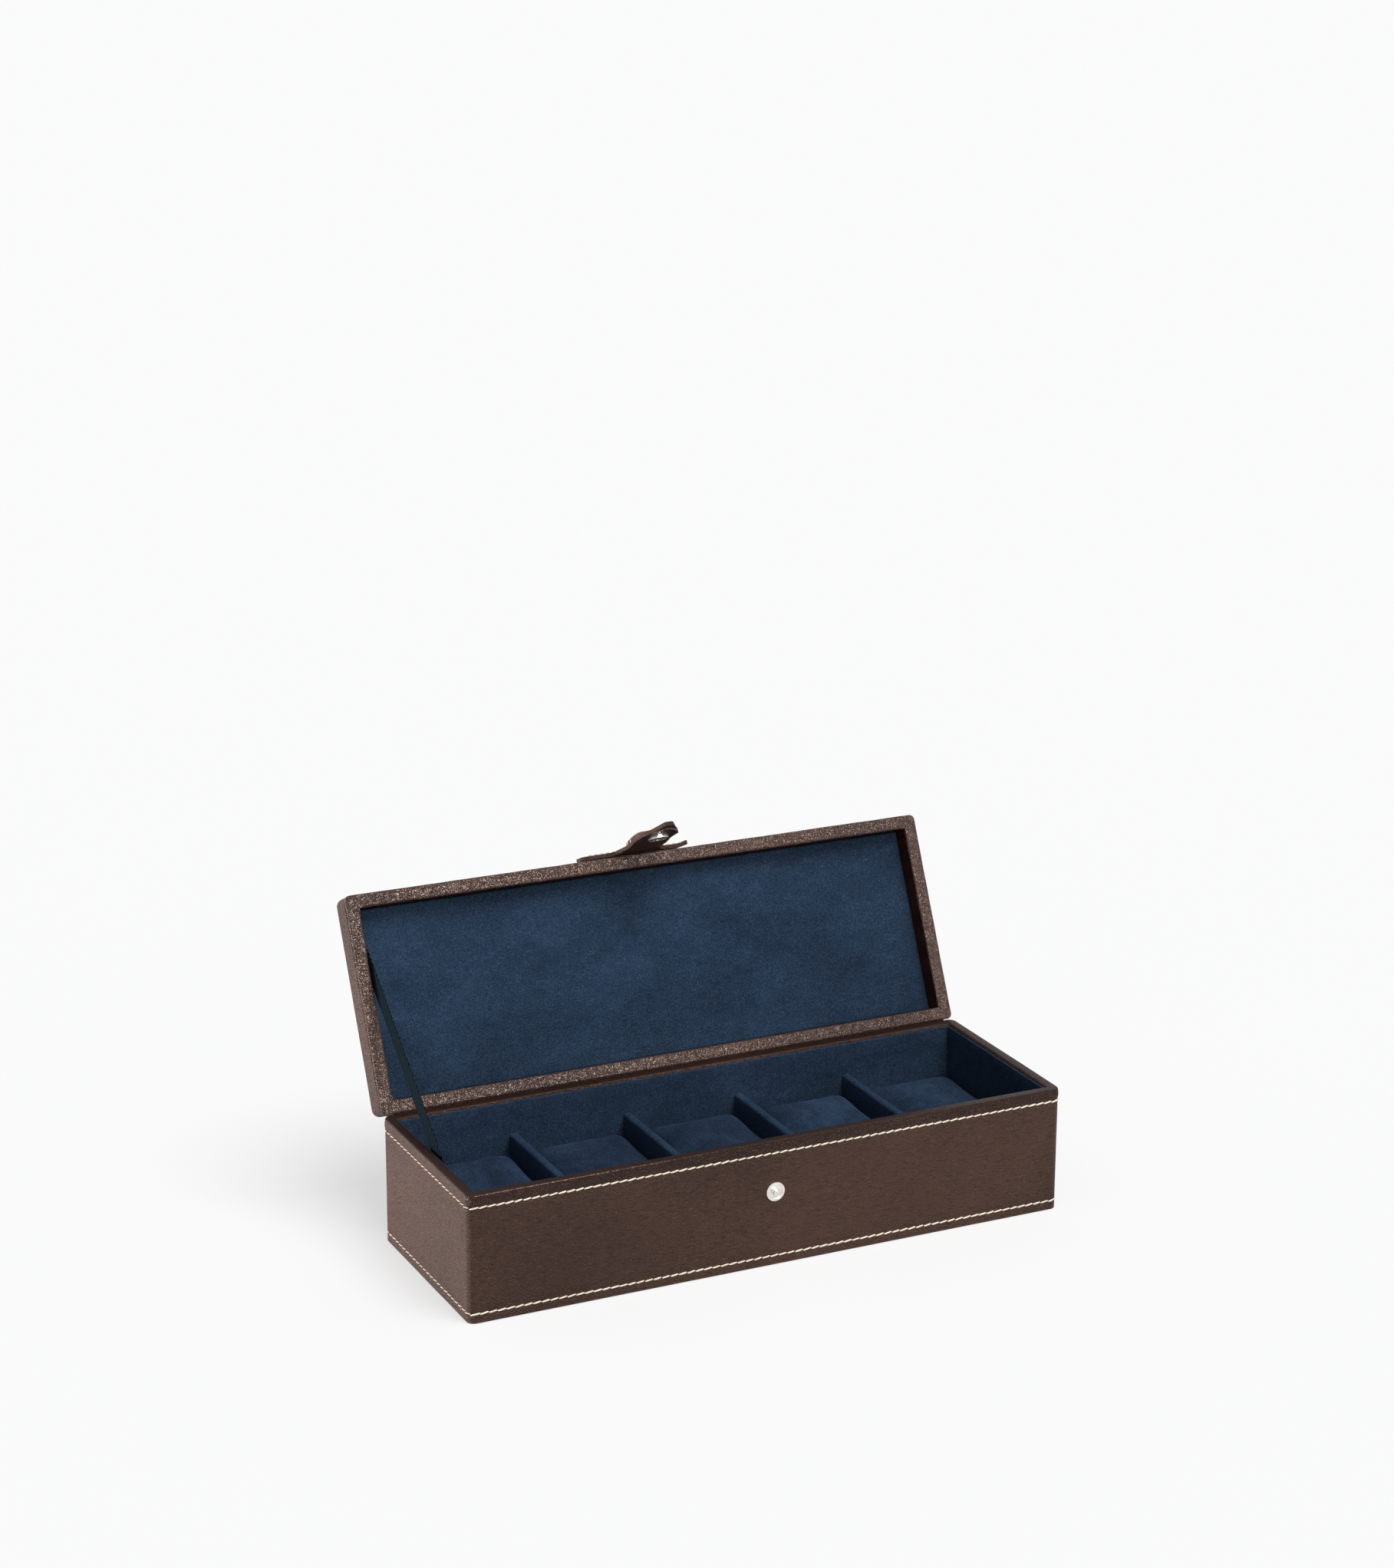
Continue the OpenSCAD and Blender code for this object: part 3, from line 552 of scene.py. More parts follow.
def make_case_leather():
    """Leather drawn up the outside, over the rim and down inside it, pulled in along its stitching."""
    cover = add_block((-HALF_LENGTH, -HALF_DEPTH, SKIN_BOTTOM), (HALF_LENGTH, HALF_DEPTH, CASE_HEIGHT))
    shape(cover)
    round_uprights(SKIN_BOTTOM, CASE_HEIGHT, CORNER_RADIUS)
    pick("FACE", lambda c, n: n.z < -0.5)
    bpy.ops.mesh.delete(type="FACE")
    pick("FACE", lambda c, n: n.z > 0.5)
    bpy.ops.mesh.inset(thickness=WALL_TOP)
    mouth = (HALF_LENGTH - WALL_TOP, HALF_DEPTH - WALL_TOP)
    near = WALL_TOP - CORNER_RADIUS + 1.2 * MM
    for side, end in ((-1, -1), (-1, 1), (1, -1), (1, 1)):
        # the inset's own small round becomes one square corner of the mouth
        corner = Vector((side * mouth[0], end * mouth[1], CASE_HEIGHT))
        pick("VERT", lambda c: (c - corner).length < near and abs(c.x) < HALF_LENGTH - CORNER_RADIUS)
        bpy.ops.mesh.merge(type="CENTER")
        pick("VERT", lambda c: (c - corner).length < near)
        work = bmesh.from_edit_mesh(bpy.context.edit_object.data)
        found = [v for v in work.verts if v.select][0].co.copy()
        push(*(corner - found))
    pick("FACE", lambda c, n: n.z > 0.5 and abs(c.x) < TINY and abs(c.y) < TINY)
    pull_out(z=-TURN_IN)
    bpy.ops.mesh.delete(type="FACE")

    def outer(c):
        """Outside the mouth."""
        return abs(c.x) > mouth[0] + TINY or abs(c.y) > mouth[1] + TINY

    def at_top(a, b):
        return min(a.z, b.z) > CASE_HEIGHT - TINY

    pick("EDGE", lambda a, b: at_top(a, b) and outer(a) and outer(b))
    bpy.ops.mesh.bevel(offset=0.9 * MM, segments=4, affect="EDGES")
    pick("EDGE", lambda a, b: at_top(a, b) and not outer(a) and not outer(b))
    bpy.ops.mesh.bevel(offset=0.8 * MM, segments=3, affect="EDGES")
    levels = (1.2, 4.3, 5.1, 5.9, 12, 20, 28, 36, 44, 52, 57, 59.7, 60.5, 61.3, 63, 64.6)
    cut_across(2, [z * MM for z in levels])
    cut_evenly(0, 10 * MM, 155 * MM)
    cut_evenly(1, 10 * MM, 45 * MM)
    leave()
    hand_made(cover, 0.03, 0.25 * MM)
    shape(cover)
    skin = 3.9 * MM
    # drawn in along the stitches, full above them
    for height, grow in ((UPPER_STITCH, -0.28 * MM), (LOWER_STITCH, -0.28 * MM),
                         (63 * MM, 0.25 * MM), (64.6 * MM, 0.2 * MM)):
        pick("VERT", lambda c: abs(c.z - height) < 0.3 * MM and outer(c) and
             (abs(c.x) > HALF_LENGTH - skin or abs(c.y) > HALF_DEPTH - skin))
        bpy.ops.transform.resize(value=(1 + grow / HALF_LENGTH, 1 + grow / HALF_DEPTH, 1),
                                 center_override=(0, 0, height))
    leave()
    apply_modifier(cover, "SOLIDIFY", thickness=LEATHER, offset=-1, use_even_offset=True)
    finish_piece(cover, "case_leather", case_leather, smooth=50)
    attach(cover, "case")
    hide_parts("base_leather_cover")


make_case_leather()


# ---------- the lid's leather and rim ----------

LID_HEIGHT = 18 * MM
LID_TOP = RIM_HEIGHT + LID_HEIGHT
LID_EDGE = 4 * MM
RIM_WIDTH = 7 * MM
RAIL_TOP = LID_TOP - 5 * MM
LID_LINING_Z = RIM_HEIGHT + 10.4 * MM


def make_lid_leather():
    """The lid's outside, drawn over its edges; it stops just short of the rim strips."""
    short_of_rim = 0.6 * MM
    low = RIM_HEIGHT + LEATHER + short_of_rim
    cover = add_block((-HALF_LENGTH, -HALF_DEPTH, low), (HALF_LENGTH, HALF_DEPTH, LID_TOP))
    shape(cover)
    round_uprights(low, LID_TOP, CORNER_RADIUS)
    pick("FACE", lambda c, n: n.z < -0.5)
    bpy.ops.mesh.delete(type="FACE")
    pick("EDGE", lambda a, b: min(a.z, b.z) > LID_TOP - TINY)
    bpy.ops.mesh.bevel(offset=LID_EDGE - 0.1 * MM, segments=6, affect="EDGES")
    cut_across(2, [low + 0.7 * MM, low + 4 * MM, low + 8 * MM])
    cut_evenly(0, 10 * MM, HALF_LENGTH)
    cut_evenly(1, 10 * MM, HALF_DEPTH)
    pick("VERT", lambda c: c.z < low + TINY)
    inward = 0.9 * MM
    bpy.ops.transform.resize(value=(1 - inward / HALF_LENGTH, 1 - inward / HALF_DEPTH, 1),
                             center_override=(0, 0, low))
    leave()
    hand_made(cover, 0.03, 0.3 * MM)
    apply_modifier(cover, "SOLIDIFY", thickness=LEATHER, offset=-1, use_even_offset=True)
    finish_piece(cover, "lid_leather", brown_leather, LID_TURN, smooth=50)
    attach(cover, "lid")
    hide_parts("lid_leather_cover")


make_lid_leather()


RIM_CORNER = 2.8 * MM
MITRE_GAP = 0.2 * MM
FOLD_IN = 1.8 * MM
FOLD_HALF = 0.5 * MM
FOLD_DEPTH = 0.35 * MM


def make_rim_strip(name, along, across, turn):
    """One side of the rim: a flat strip turned up inside the recess, mitred and eased at both ends."""
    half, out = along / 2, across / 2
    strip = add_block((-half, -out, RIM_HEIGHT), (half, -out + RIM_WIDTH, RIM_HEIGHT + LEATHER))
    shape(strip)
    cut_across(1, [-out + RIM_WIDTH - LEATHER])
    pick("FACE", lambda c, n: n.z > 0.5 and c.y > -out + RIM_WIDTH - LEATHER)
    pull_out(z=RAIL_TOP - RIM_HEIGHT - LEATHER)
    mitre = half - MITRE_GAP
    for end in (-1, 1):
        for back in (FOLD_IN - FOLD_HALF, FOLD_IN, FOLD_IN + FOLD_HALF):
            slice_through((end * (mitre - back), -out, RIM_HEIGHT), (end, 1, 0))
        slice_through((end * mitre, -out, RIM_HEIGHT), (end, 1, 0), cut_off=True)
        centre = Vector((end * (half - RIM_CORNER), -out + RIM_CORNER, RIM_HEIGHT))
        for turned in (6, 15, 24, 33, 42):
            way = Vector((end * math.sin(math.radians(turned)), -math.cos(math.radians(turned)), 0))
            slice_through(centre + way * RIM_CORNER, way, cut_off=True)

    def on_outside(c):
        centre_x = half - RIM_CORNER
        if abs(c.x) < centre_x + 0.5 * MM:
            return c.y < -out + TINY
        return math.hypot(abs(c.x) - centre_x, c.y + out - RIM_CORNER) > RIM_CORNER - 0.02 * MM

    def low(c):
        return c.z < RIM_HEIGHT + TINY

    pick("EDGE", lambda a, b: low(a) and low(b) and on_outside(a) and on_outside(b))
    bpy.ops.mesh.bevel(offset=0.8 * MM, segments=4, affect="EDGES")
    pick("EDGE", lambda a, b: low(a) and low(b) and abs(a.x - b.x) > along / 2 and
         min(a.y, b.y) > -out + RIM_WIDTH - TINY)
    bpy.ops.mesh.bevel(offset=1.1 * MM, segments=4, affect="EDGES")
    fold = mitre - FOLD_IN
    pick("VERT", lambda c: c.z < RIM_HEIGHT + 0.3 * MM and -out + 1 * MM < c.y < -out + RIM_WIDTH - 1.2 * MM and
         abs(abs(c.x) + c.y + out - fold) < 0.05 * MM)
    push(z=FOLD_DEPTH)
    cut_evenly(0, 1.6 * MM, half - 1 * MM)
    cut_across(1, [-out + y * MM for y in (2.2, 3.5, 4.8)])
    leave()
    hand_made(strip, 0.012, 0.25 * MM)
    placed = LID_TURN @ Matrix.Rotation(turn, 4, "Z")
    finish_piece(strip, name, rim_leather, placed, smooth=75)
    strip.data.materials.append(recess_leather)
    lifted = placed.inverted()
    for face in strip.data.polygons:
        if (lifted @ face.center).z > RIM_HEIGHT + 1.4 * MM:
            face.material_index = 1
    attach(strip, "lid")
    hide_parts(name.replace("rim_leather", "lid_rim"))


QUARTER = math.pi / 2
make_rim_strip("rim_leather_front", CASE_LENGTH, CASE_DEPTH, 0)
make_rim_strip("rim_leather_back", CASE_LENGTH, CASE_DEPTH, 2 * QUARTER)
make_rim_strip("rim_leather_left", CASE_DEPTH, CASE_LENGTH, -QUARTER)
make_rim_strip("rim_leather_right", CASE_DEPTH, CASE_LENGTH, QUARTER)


def make_lid_panel():
    """The lid's lining: suede over thin padding, eased all round and a little proud in the middle."""
    length, depth = 316 * MM, 99 * MM
    panel = add_block((-length / 2, -depth / 2, LID_LINING_Z), (length / 2, depth / 2, RAIL_TOP))
    shape(panel)
    pick("EDGE", lambda a, b: max(a.z, b.z) < LID_LINING_Z + TINY)
    bpy.ops.mesh.bevel(offset=1.4 * MM, segments=4, affect="EDGES")
    cut_evenly(0, 12 * MM, length / 2)
    cut_evenly(1, 12 * MM, depth / 2)
    for reach_x, reach_y in ((150, 42), (140, 32), (125, 17)):
        pick("VERT", lambda c: c.z < LID_LINING_Z + TINY and
             abs(c.x) < reach_x * MM and abs(c.y) < reach_y * MM)
        push(z=-0.3 * MM)
    leave()
    hand_made(panel, 0.04, 0.35 * MM)
    finish_piece(panel, "lid_panel", navy_suede, LID_TURN, smooth=60)
    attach(panel, "lid")
    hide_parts("lid_lining")


make_lid_panel()


# ---------- the case's suede ----------

LINING = 2.2 * MM
INNER_X, INNER_Y = 160.5 * MM, 52 * MM
LINING_TOP = 65.7 * MM
TURN_IN_LOW = 58 * MM
DIVIDER_THICK = 4.6 * MM
DIVIDER_TOP = 48.39 * MM
DIVIDERS_AT = [(k - 1.5) * CUSHION_PITCH for k in range(4)]


def make_wall_lining(name, along, across, turn):
    """Suede on card against one wall; its upper part is thinner, behind the turned-in leather."""
    half, out = along / 2, across / 2
    lining = add_block((-half, -out, FLOOR_LINING_TOP), (half, -out + LINING, TURN_IN_LOW))
    shape(lining)
    cut_across(1, [-out + LEATHER + 0.03 * MM])
    pick("FACE", lambda c, n: n.z > 0.5 and c.y > -out + LEATHER)
    pull_out(z=LINING_TOP - TURN_IN_LOW)
    pick("EDGE", lambda a, b: min(a.z, b.z) > LINING_TOP - TINY and abs(a.x - b.x) > half)
    bpy.ops.mesh.bevel(offset=0.5 * MM, segments=3, affect="EDGES")
    cut_evenly(0, 8 * MM, half - 1 * MM)
    cut_across(2, [z * MM for z in (12, 20, 28, 36, 44, 52, 61)])
    leave()
    hand_made(lining, 0.03, 0.35 * MM)
    finish_piece(lining, name, navy_suede, Matrix.Rotation(turn, 4, "Z"), smooth=50)
    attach(lining, "case")
    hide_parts(name.replace("suede_", "") + "_lining")


make_wall_lining("suede_front", 2 * INNER_X - 2 * LINING, 2 * INNER_Y, 0)
make_wall_lining("suede_back", 2 * INNER_X - 2 * LINING, 2 * INNER_Y, 2 * QUARTER)
make_wall_lining("suede_left", 2 * INNER_Y - 2 * LEATHER, 2 * INNER_X, -QUARTER)
make_wall_lining("suede_right", 2 * INNER_Y - 2 * LEATHER, 2 * INNER_X, QUARTER)


def make_dividers():
    """Four boards covered in suede, their tops rounded over."""
    half, deep = DIVIDER_THICK / 2, INNER_Y - LINING
    board = add_block((-half, -deep, FLOOR_LINING_TOP), (half, deep, DIVIDER_TOP))
    shape(board)
    pick("EDGE", lambda a, b: min(a.z, b.z) > DIVIDER_TOP - TINY and abs(a.y - b.y) > deep)
    bpy.ops.mesh.bevel(offset=1.5 * MM, segments=5, affect="EDGES")
    cut_evenly(1, 5 * MM, deep)
    cut_across(2, [z * MM for z in (12, 18, 24, 30, 36, 42)])
    leave()
    for k, place in enumerate(DIVIDERS_AT, 1):
        divider = copied(board)
        divider.location.x = place
        take_up(divider)
        settle()
        hand_made(divider, 0.03, 0.4 * MM)
        finish_piece(divider, f"suede_divider_{k}", navy_suede, smooth=50)
        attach(divider, "case")
        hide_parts(f"divider_{k}")
    bpy.data.objects.remove(board)


make_dividers()


def make_floor_lining():
    """Suede on card under the cushions."""
    lining = add_block((-INNER_X, -INNER_Y, FLOOR_LINING_TOP - 1.2 * MM), (INNER_X, INNER_Y, FLOOR_LINING_TOP))
    shape(lining)
    cut_evenly(0, 10 * MM, 155 * MM)
    cut_evenly(1, 10 * MM, 45 * MM)
    leave()
    hand_made(lining, 0.03, 0.15 * MM)
    finish_piece(lining, "suede_floor", navy_suede, smooth=40)
    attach(lining, "case")
    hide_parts("floor_lining")


make_floor_lining()


# ---------- leather hinge ----------

def make_hinge_strip():
    """One strip of leather from the case's back, over the hinge line, to the lid's back."""
    half = 159 * MM
    lid_way = Vector((0, math.sin(LID_OPEN), math.cos(LID_OPEN)))
    lid_in = Vector((0, -math.cos(LID_OPEN), math.sin(LID_OPEN)))
    sunk = 0.3 * MM
    stops = [HINGE + Vector((0, -sunk, z * MM)) for z in (-14.1, -7, -1.2)]
    stops += [HINGE + Vector((0, y * MM, z * MM)) for y, z in ((-0.28, -0.2), (-0.02, 0.22))]
    stops += [HINGE + lid_way * s * MM + lid_in * sunk for s in (0.3, 1.3, 7, 13)]
    strip = start_strip(1)
    pick("VERT", lambda c: True)
    bpy.ops.transform.resize(value=(2 * half, 1, 1), center_override=(0, -0.5, 0))
    push(0, 0.5 + stops[0].y, stops[0].z)
    draw_through(stops)
    cut_evenly(0, 10 * MM, half)
    leave()
    hand_made(strip, 0.02, 0.15 * MM)
    apply_modifier(strip, "SOLIDIFY", thickness=1.05 * MM, offset=0, use_even_offset=True)
    finish_piece(strip, "hinge_strip", hinge_leather, smooth=60)
    face_outwards(strip)
    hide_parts("hinge_leather_lower", "hinge_leather_upper")
    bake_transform(strip)


make_hinge_strip()


# ---------- stitching ----------

STITCH_LENGTH = 4.7 * MM
STITCH_THICK = 0.88 * MM
END_STITCH_THICK = 0.62 * MM
STITCH_PITCH = 4.6 * MM
STITCH_SLANT = math.radians(9)
hand = random.Random(7)


def make_stitch(length, thick):
    """One stitch, lying along x with its ends dipping into the leather."""
    start_piece()
    bpy.ops.mesh.primitive_cylinder_add(vertices=8, radius=thick / 2, depth=length * 0.44,
                                        rotation=(0, math.pi / 2, 0))
    stitch = bpy.context.object
    settle()
    shape(stitch)
    for end in (-1, 1):
        pick("FACE", lambda c, n: n.x * end > 0.9)
        for reach, dip, size in ((0.17, 0.1, 0.86), (0.11, 0.3, 0.55)):
            pull_out(x=end * length * reach, z=-thick * dip)
            bpy.ops.transform.resize(value=(1, size, size))
    leave()
    stitch.name = "stitch"
    return stitch


def sew(name, places, body, pattern, thread=cream_thread):
    """A row of stitches. Each place is a point, the way along the row and the way out of the leather."""
    row = []
    for point, along, out in places:
        one = copied(pattern)
        side = out.cross(along)
        turned = Matrix((along, side, out)).transposed().to_4x4()
        slant = Matrix.Rotation(STITCH_SLANT + hand.uniform(-0.035, 0.035), 4, "Z")
        size = Matrix.Diagonal((hand.uniform(0.93, 1.05), hand.uniform(0.92, 1.08), hand.uniform(0.9, 1.05), 1))
        one.matrix_world = Matrix.Translation(point) @ turned @ slant @ size
        row.append(one)
    start_piece()
    for one in row:
        one.select_set(True)
    bpy.context.view_layer.objects.active = row[0]
    settle()
    bpy.ops.object.join()
    seam = finish_piece(bpy.context.object, name, thread, smooth=60)
    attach(seam, body)


def case_row(half, deep, height, turned):
    """Places along one side of the case and halfway round its two rounded corners."""
    corner = CORNER_RADIUS * math.pi / 4
    flat = half - CORNER_RADIUS
    count = round(2 * (flat + corner) / STITCH_PITCH)
    row = []
    for k in range(count):
        run = (flat + corner) * (2 * (k + 0.5) / count - 1)
        bend = max(0.0, abs(run) - flat) / CORNER_RADIUS * (1 if run > 0 else -1)
        straight = max(-flat, min(flat, run))
        sink = 0.05 * MM + 0.35 * MM * abs(math.sin(bend))
        out = Vector((math.sin(bend), -math.cos(bend), 0))
        place = Vector((straight, -deep + CORNER_RADIUS, height)) + out * (CORNER_RADIUS - sink)
        row.append((turned @ place, turned @ Vector((math.cos(bend), math.sin(bend), 0)), turned @ out))
    return row


def sew_case():
    """Two rows round the case. The upper one stops where the hinge leather lies."""
    long_stitch = make_stitch(STITCH_LENGTH, STITCH_THICK)
    end_stitch = make_stitch(STITCH_LENGTH, END_STITCH_THICK)
    on_long = (HALF_LENGTH, HALF_DEPTH, long_stitch, cream_thread)
    on_end = (HALF_DEPTH, HALF_LENGTH, end_stitch, end_thread_painted_shade)
    for side, turn, (half, deep, pattern, thread) in (("front", 0, on_long), ("right", 90, on_end),
                                                      ("back", 180, on_long), ("left", 270, on_end)):
        turned = Matrix.Rotation(math.radians(turn), 4, "Z")
        for level, height in (("upper", UPPER_STITCH), ("lower", LOWER_STITCH)):
            if (side, level) != ("back", "upper"):
                sew(f"stitches_{side}_{level}", case_row(half, deep, height, turned), "case", pattern, thread)
    bpy.data.objects.remove(long_stitch)
    bpy.data.objects.remove(end_stitch)


sew_case()


# ---------- closure ----------

STRAP_THICK = 2.2 * MM
SOCKET_DOWN = 27.4 * MM
SOCKET_HOLE = 6.3 * MM

# the wings, shut: half their length, how far above the rim they begin, how far out they lie, their height
WING_HALF, WING_UP, WING_OUT, WING_HEIGHT = 31 * MM, 3.1 * MM, 1.7 * MM, 11.6 * MM
# the tongue, shut, in mm: how far down from the rim, how far out its middle lies, half its width
TONGUE = [(-3.1, 1.7, 18.5), (-1.9, 1.75, 15.4), (-0.8, 2.0, 13.2), (0.8, 2.3, 11.9), (3, 2.42, 11.1),
          (6, 2.42, 10.6), (9.5, 2.42, 10.5), (12.2, 2.42, 10.5), (14.7, 2.6, 10.5), (17.2, 3.05, 10.5),
          (19.6, 3.45, 10.5), (22, 3.6, 10.5), (27, 3.6, 10.5), (31, 3.65, 10.4), (33.5, 3.75, 9.3),
          (36, 3.95, 7.8), (38.5, 4.25, 6.3), (41, 4.65, 4.9), (43.3, 5.05, 3.6), (44.8, 5.35, 2.7),
          (45.6, 5.5, 1.8)]


def punch_hole(strap):
    """The hole that the socket's barrel goes through, and the stud's post inside it."""
    bpy.ops.mesh.primitive_cylinder_add(vertices=32, radius=SOCKET_HOLE / 2, depth=12 * MM,
                                        location=in_lid_front(0, SOCKET_DOWN, 2.5 * MM),
                                        rotation=(QUARTER, 0, 0))
    punch = bpy.context.object
    apply_modifier(strap, "BOOLEAN", object=punch, operation="DIFFERENCE", solver="EXACT")
    bpy.data.objects.remove(punch)


def make_closure_strap():
    """Wings and tongue are one T of thick leather, its inner corners rounded, its right wing sprung up."""
    low = in_lid_front(-WING_HALF, -WING_UP, WING_OUT)
    strap = add_block(low, low + Vector((2 * WING_HALF, STRAP_THICK, WING_HEIGHT)))
    shape(strap)
    pick("FACE", lambda c, n: n.y < 0.5)
    bpy.ops.mesh.delete(type="FACE")
    pick("VERT", lambda c: True)
    push(y=-STRAP_THICK)
    cut_across(0, [x * MM for x in (-29, -24, -18.5, 18.5, 20.5, 22.5, 24.5, 26.5, 28.5, 30)])
    cut_across(2, [low.z + z * MM for z in (2.5, 5.8, 9.1)])
    for tip in (-1, 1):
        for reach, size in ((28.7 * MM, 0.86), (30.5 * MM, 0.62)):
            pick("VERT", lambda c: c.x * tip > reach)
            bpy.ops.transform.resize(value=(1, 1, size), center_override=(0, 0, low.z + WING_HEIGHT / 2))
    pick("EDGE", lambda a, b: max(a.z, b.z) < low.z + TINY and max(abs(a.x), abs(b.x)) < 19 * MM)
    for (down, out, half), (next_down, next_out, next_half) in zip(TONGUE, TONGUE[1:]):
        pull_out(y=-(next_out - out) * MM, z=-(next_down - down) * MM)
        bpy.ops.transform.resize(value=(next_half / half, 1, 1), center_override=(0, 0, 0))
    cut_across(0, [x * MM for x in (-9, -6, -3, 0, 3, 6, 9)])
    for reach, spring in ((24.6, 0.1), (26.6, 0.25), (28.6, 0.45), (29.8, 0.45)):
        pick("VERT", lambda c: c.x > (reach - 0.2) * MM and c.z > low.z - TINY)
        push(y=-spring * MM)
    leave()
    apply_modifier(strap, "SOLIDIFY", thickness=STRAP_THICK, offset=0, use_even_offset=True)
    apply_modifier(strap, "BEVEL", width=0.4 * MM, segments=3, limit_method="ANGLE",
                   angle_limit=math.radians(50))
    hand_made(strap, 0.01, 0.2 * MM)
    punch_hole(strap)
    face_outwards(strap)
    raw_edge = [f.index for f in strap.data.polygons if abs(f.normal.y) < 0.6]
    strap.data.transform(LID_TURN)
    finish_piece(strap, "closure_strap", tab_leather, smooth=40)
    strap.data.materials.append(edge_leather)
    for face in raw_edge:
        strap.data.polygons[face].material_index = 1
    spring_out(strap)
    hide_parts("closure_anchor", "closure_tab")
    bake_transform(strap)


def spring_out(strap):
    """Turns the tongue out to where the tab rests, easing in over the wings' lower edge."""
    shut = LID_TURN.inverted()
    begins, over = RIM_HEIGHT + 3 * MM, 5 * MM
    for corner in strap.data.vertices:
        flat = shut @ corner.co
        part = min(1.0, max(0.0, (begins - flat.z) / over))
        if part > 0:
            corner.co = LID_TURN @ turned_back(TAB_AXIS, TAB_LIFT * part) @ flat


make_closure_strap()


def make_closure_pad():
    """The padded cover sewn to the outside of the tab."""
    pad = copy_of_node("closure_tab_cover")
    apply_modifier(pad, "REMESH", mode="VOXEL", voxel_size=0.3 * MM)
    apply_modifier(pad, "SMOOTH", factor=0.6, iterations=5)
    hand_made(pad, 0.008, 0.3 * MM)
    finish_piece(pad, "closure_pad", tab_leather, smooth=70)
    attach(pad, "tab")
    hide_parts("closure_tab_cover")


make_closure_pad()


def wing_rows():
    """Two short rows on each wing, one above the other."""
    along, out = Vector((1, 0, 0)), LID_TURN.to_3x3() @ Vector((0, -1, 0))
    return [(on_lid(side * (12.5 + 3.4 * step) * MM, -up * MM, 3.35 * MM), along, out)
            for side in (-1, 1) for step in range(5) for up in (4.9, 13.1)]


def pad_rows(tab_down, tab_out):
    """Down both sides of the pad, following its swell, and two stitches on each of its upper flanks."""
    swell_radius, swell_top, swell_middle = 60, 6.9, 20
    places = []
    for side in (-1, 1):
        for step in range(7):
            down = 9 + 3.6 * step
            rise = swell_top - (down - swell_middle) ** 2 / (2 * swell_radius)
            place = TAB_TURN @ in_lid_front(side * 7.6 * MM, down * MM, rise * MM)
            slope = (down - swell_middle) / swell_radius
            along = (tab_down - tab_out * slope).normalized()
            places.append((place, along, along.cross(tab_out.cross(along)).normalized()))
    across_flank = (tab_out * 0.94 + tab_down * 0.3).normalized()
    for side in (-1, 1):
        for down in (8.2, 12.4):
            place = TAB_TURN @ in_lid_front(side * 8.95 * MM, down * MM, 4.9 * MM)
            places.append((place, across_flank, Vector((side, 0, 0))))
    return places


def tip_row(tab_down, tab_out):
    """Round the tip on the tab's underside, which curves out from here on."""
    radius, middle, curve_from, curve_radius = 7.2, 34, 33, 36
    places = []
    for turn in range(-60, 61, 20):
        a = math.radians(turn)
        x, down = radius * math.sin(a), middle + radius * math.cos(a)
        past = max(0, down - curve_from)
        rise = 2.6 + past ** 2 / (2 * curve_radius)
        out = (-tab_out + tab_down * past / curve_radius).normalized()
        way = (Vector((1, 0, 0)) * math.cos(a) - tab_down * math.sin(a)).normalized()
        way = (way - out * way.dot(out)).normalized()
        places.append((TAB_TURN @ in_lid_front(x * MM, down * MM, rise * MM), way, out))
    return places


def sew_closure():
    """Short rows along the wings, down both sides of the pad and round the tip underneath."""
    fine_stitch = make_stitch(2.6 * MM, 0.6 * MM)
    flat_turn = TAB_TURN.to_3x3()
    tab_down, tab_out = flat_turn @ Vector((0, 0, -1)), flat_turn @ Vector((0, -1, 0))
    sew("stitches_wings", wing_rows(), "lid", fine_stitch)
    sew("stitches_pad", pad_rows(tab_down, tab_out), "tab", fine_stitch)
    sew("stitches_tip", tip_row(tab_down, tab_out), "tab", fine_stitch, brown_thread)
    bpy.data.objects.remove(fine_stitch)


sew_closure()


# ---------- ribbon ----------

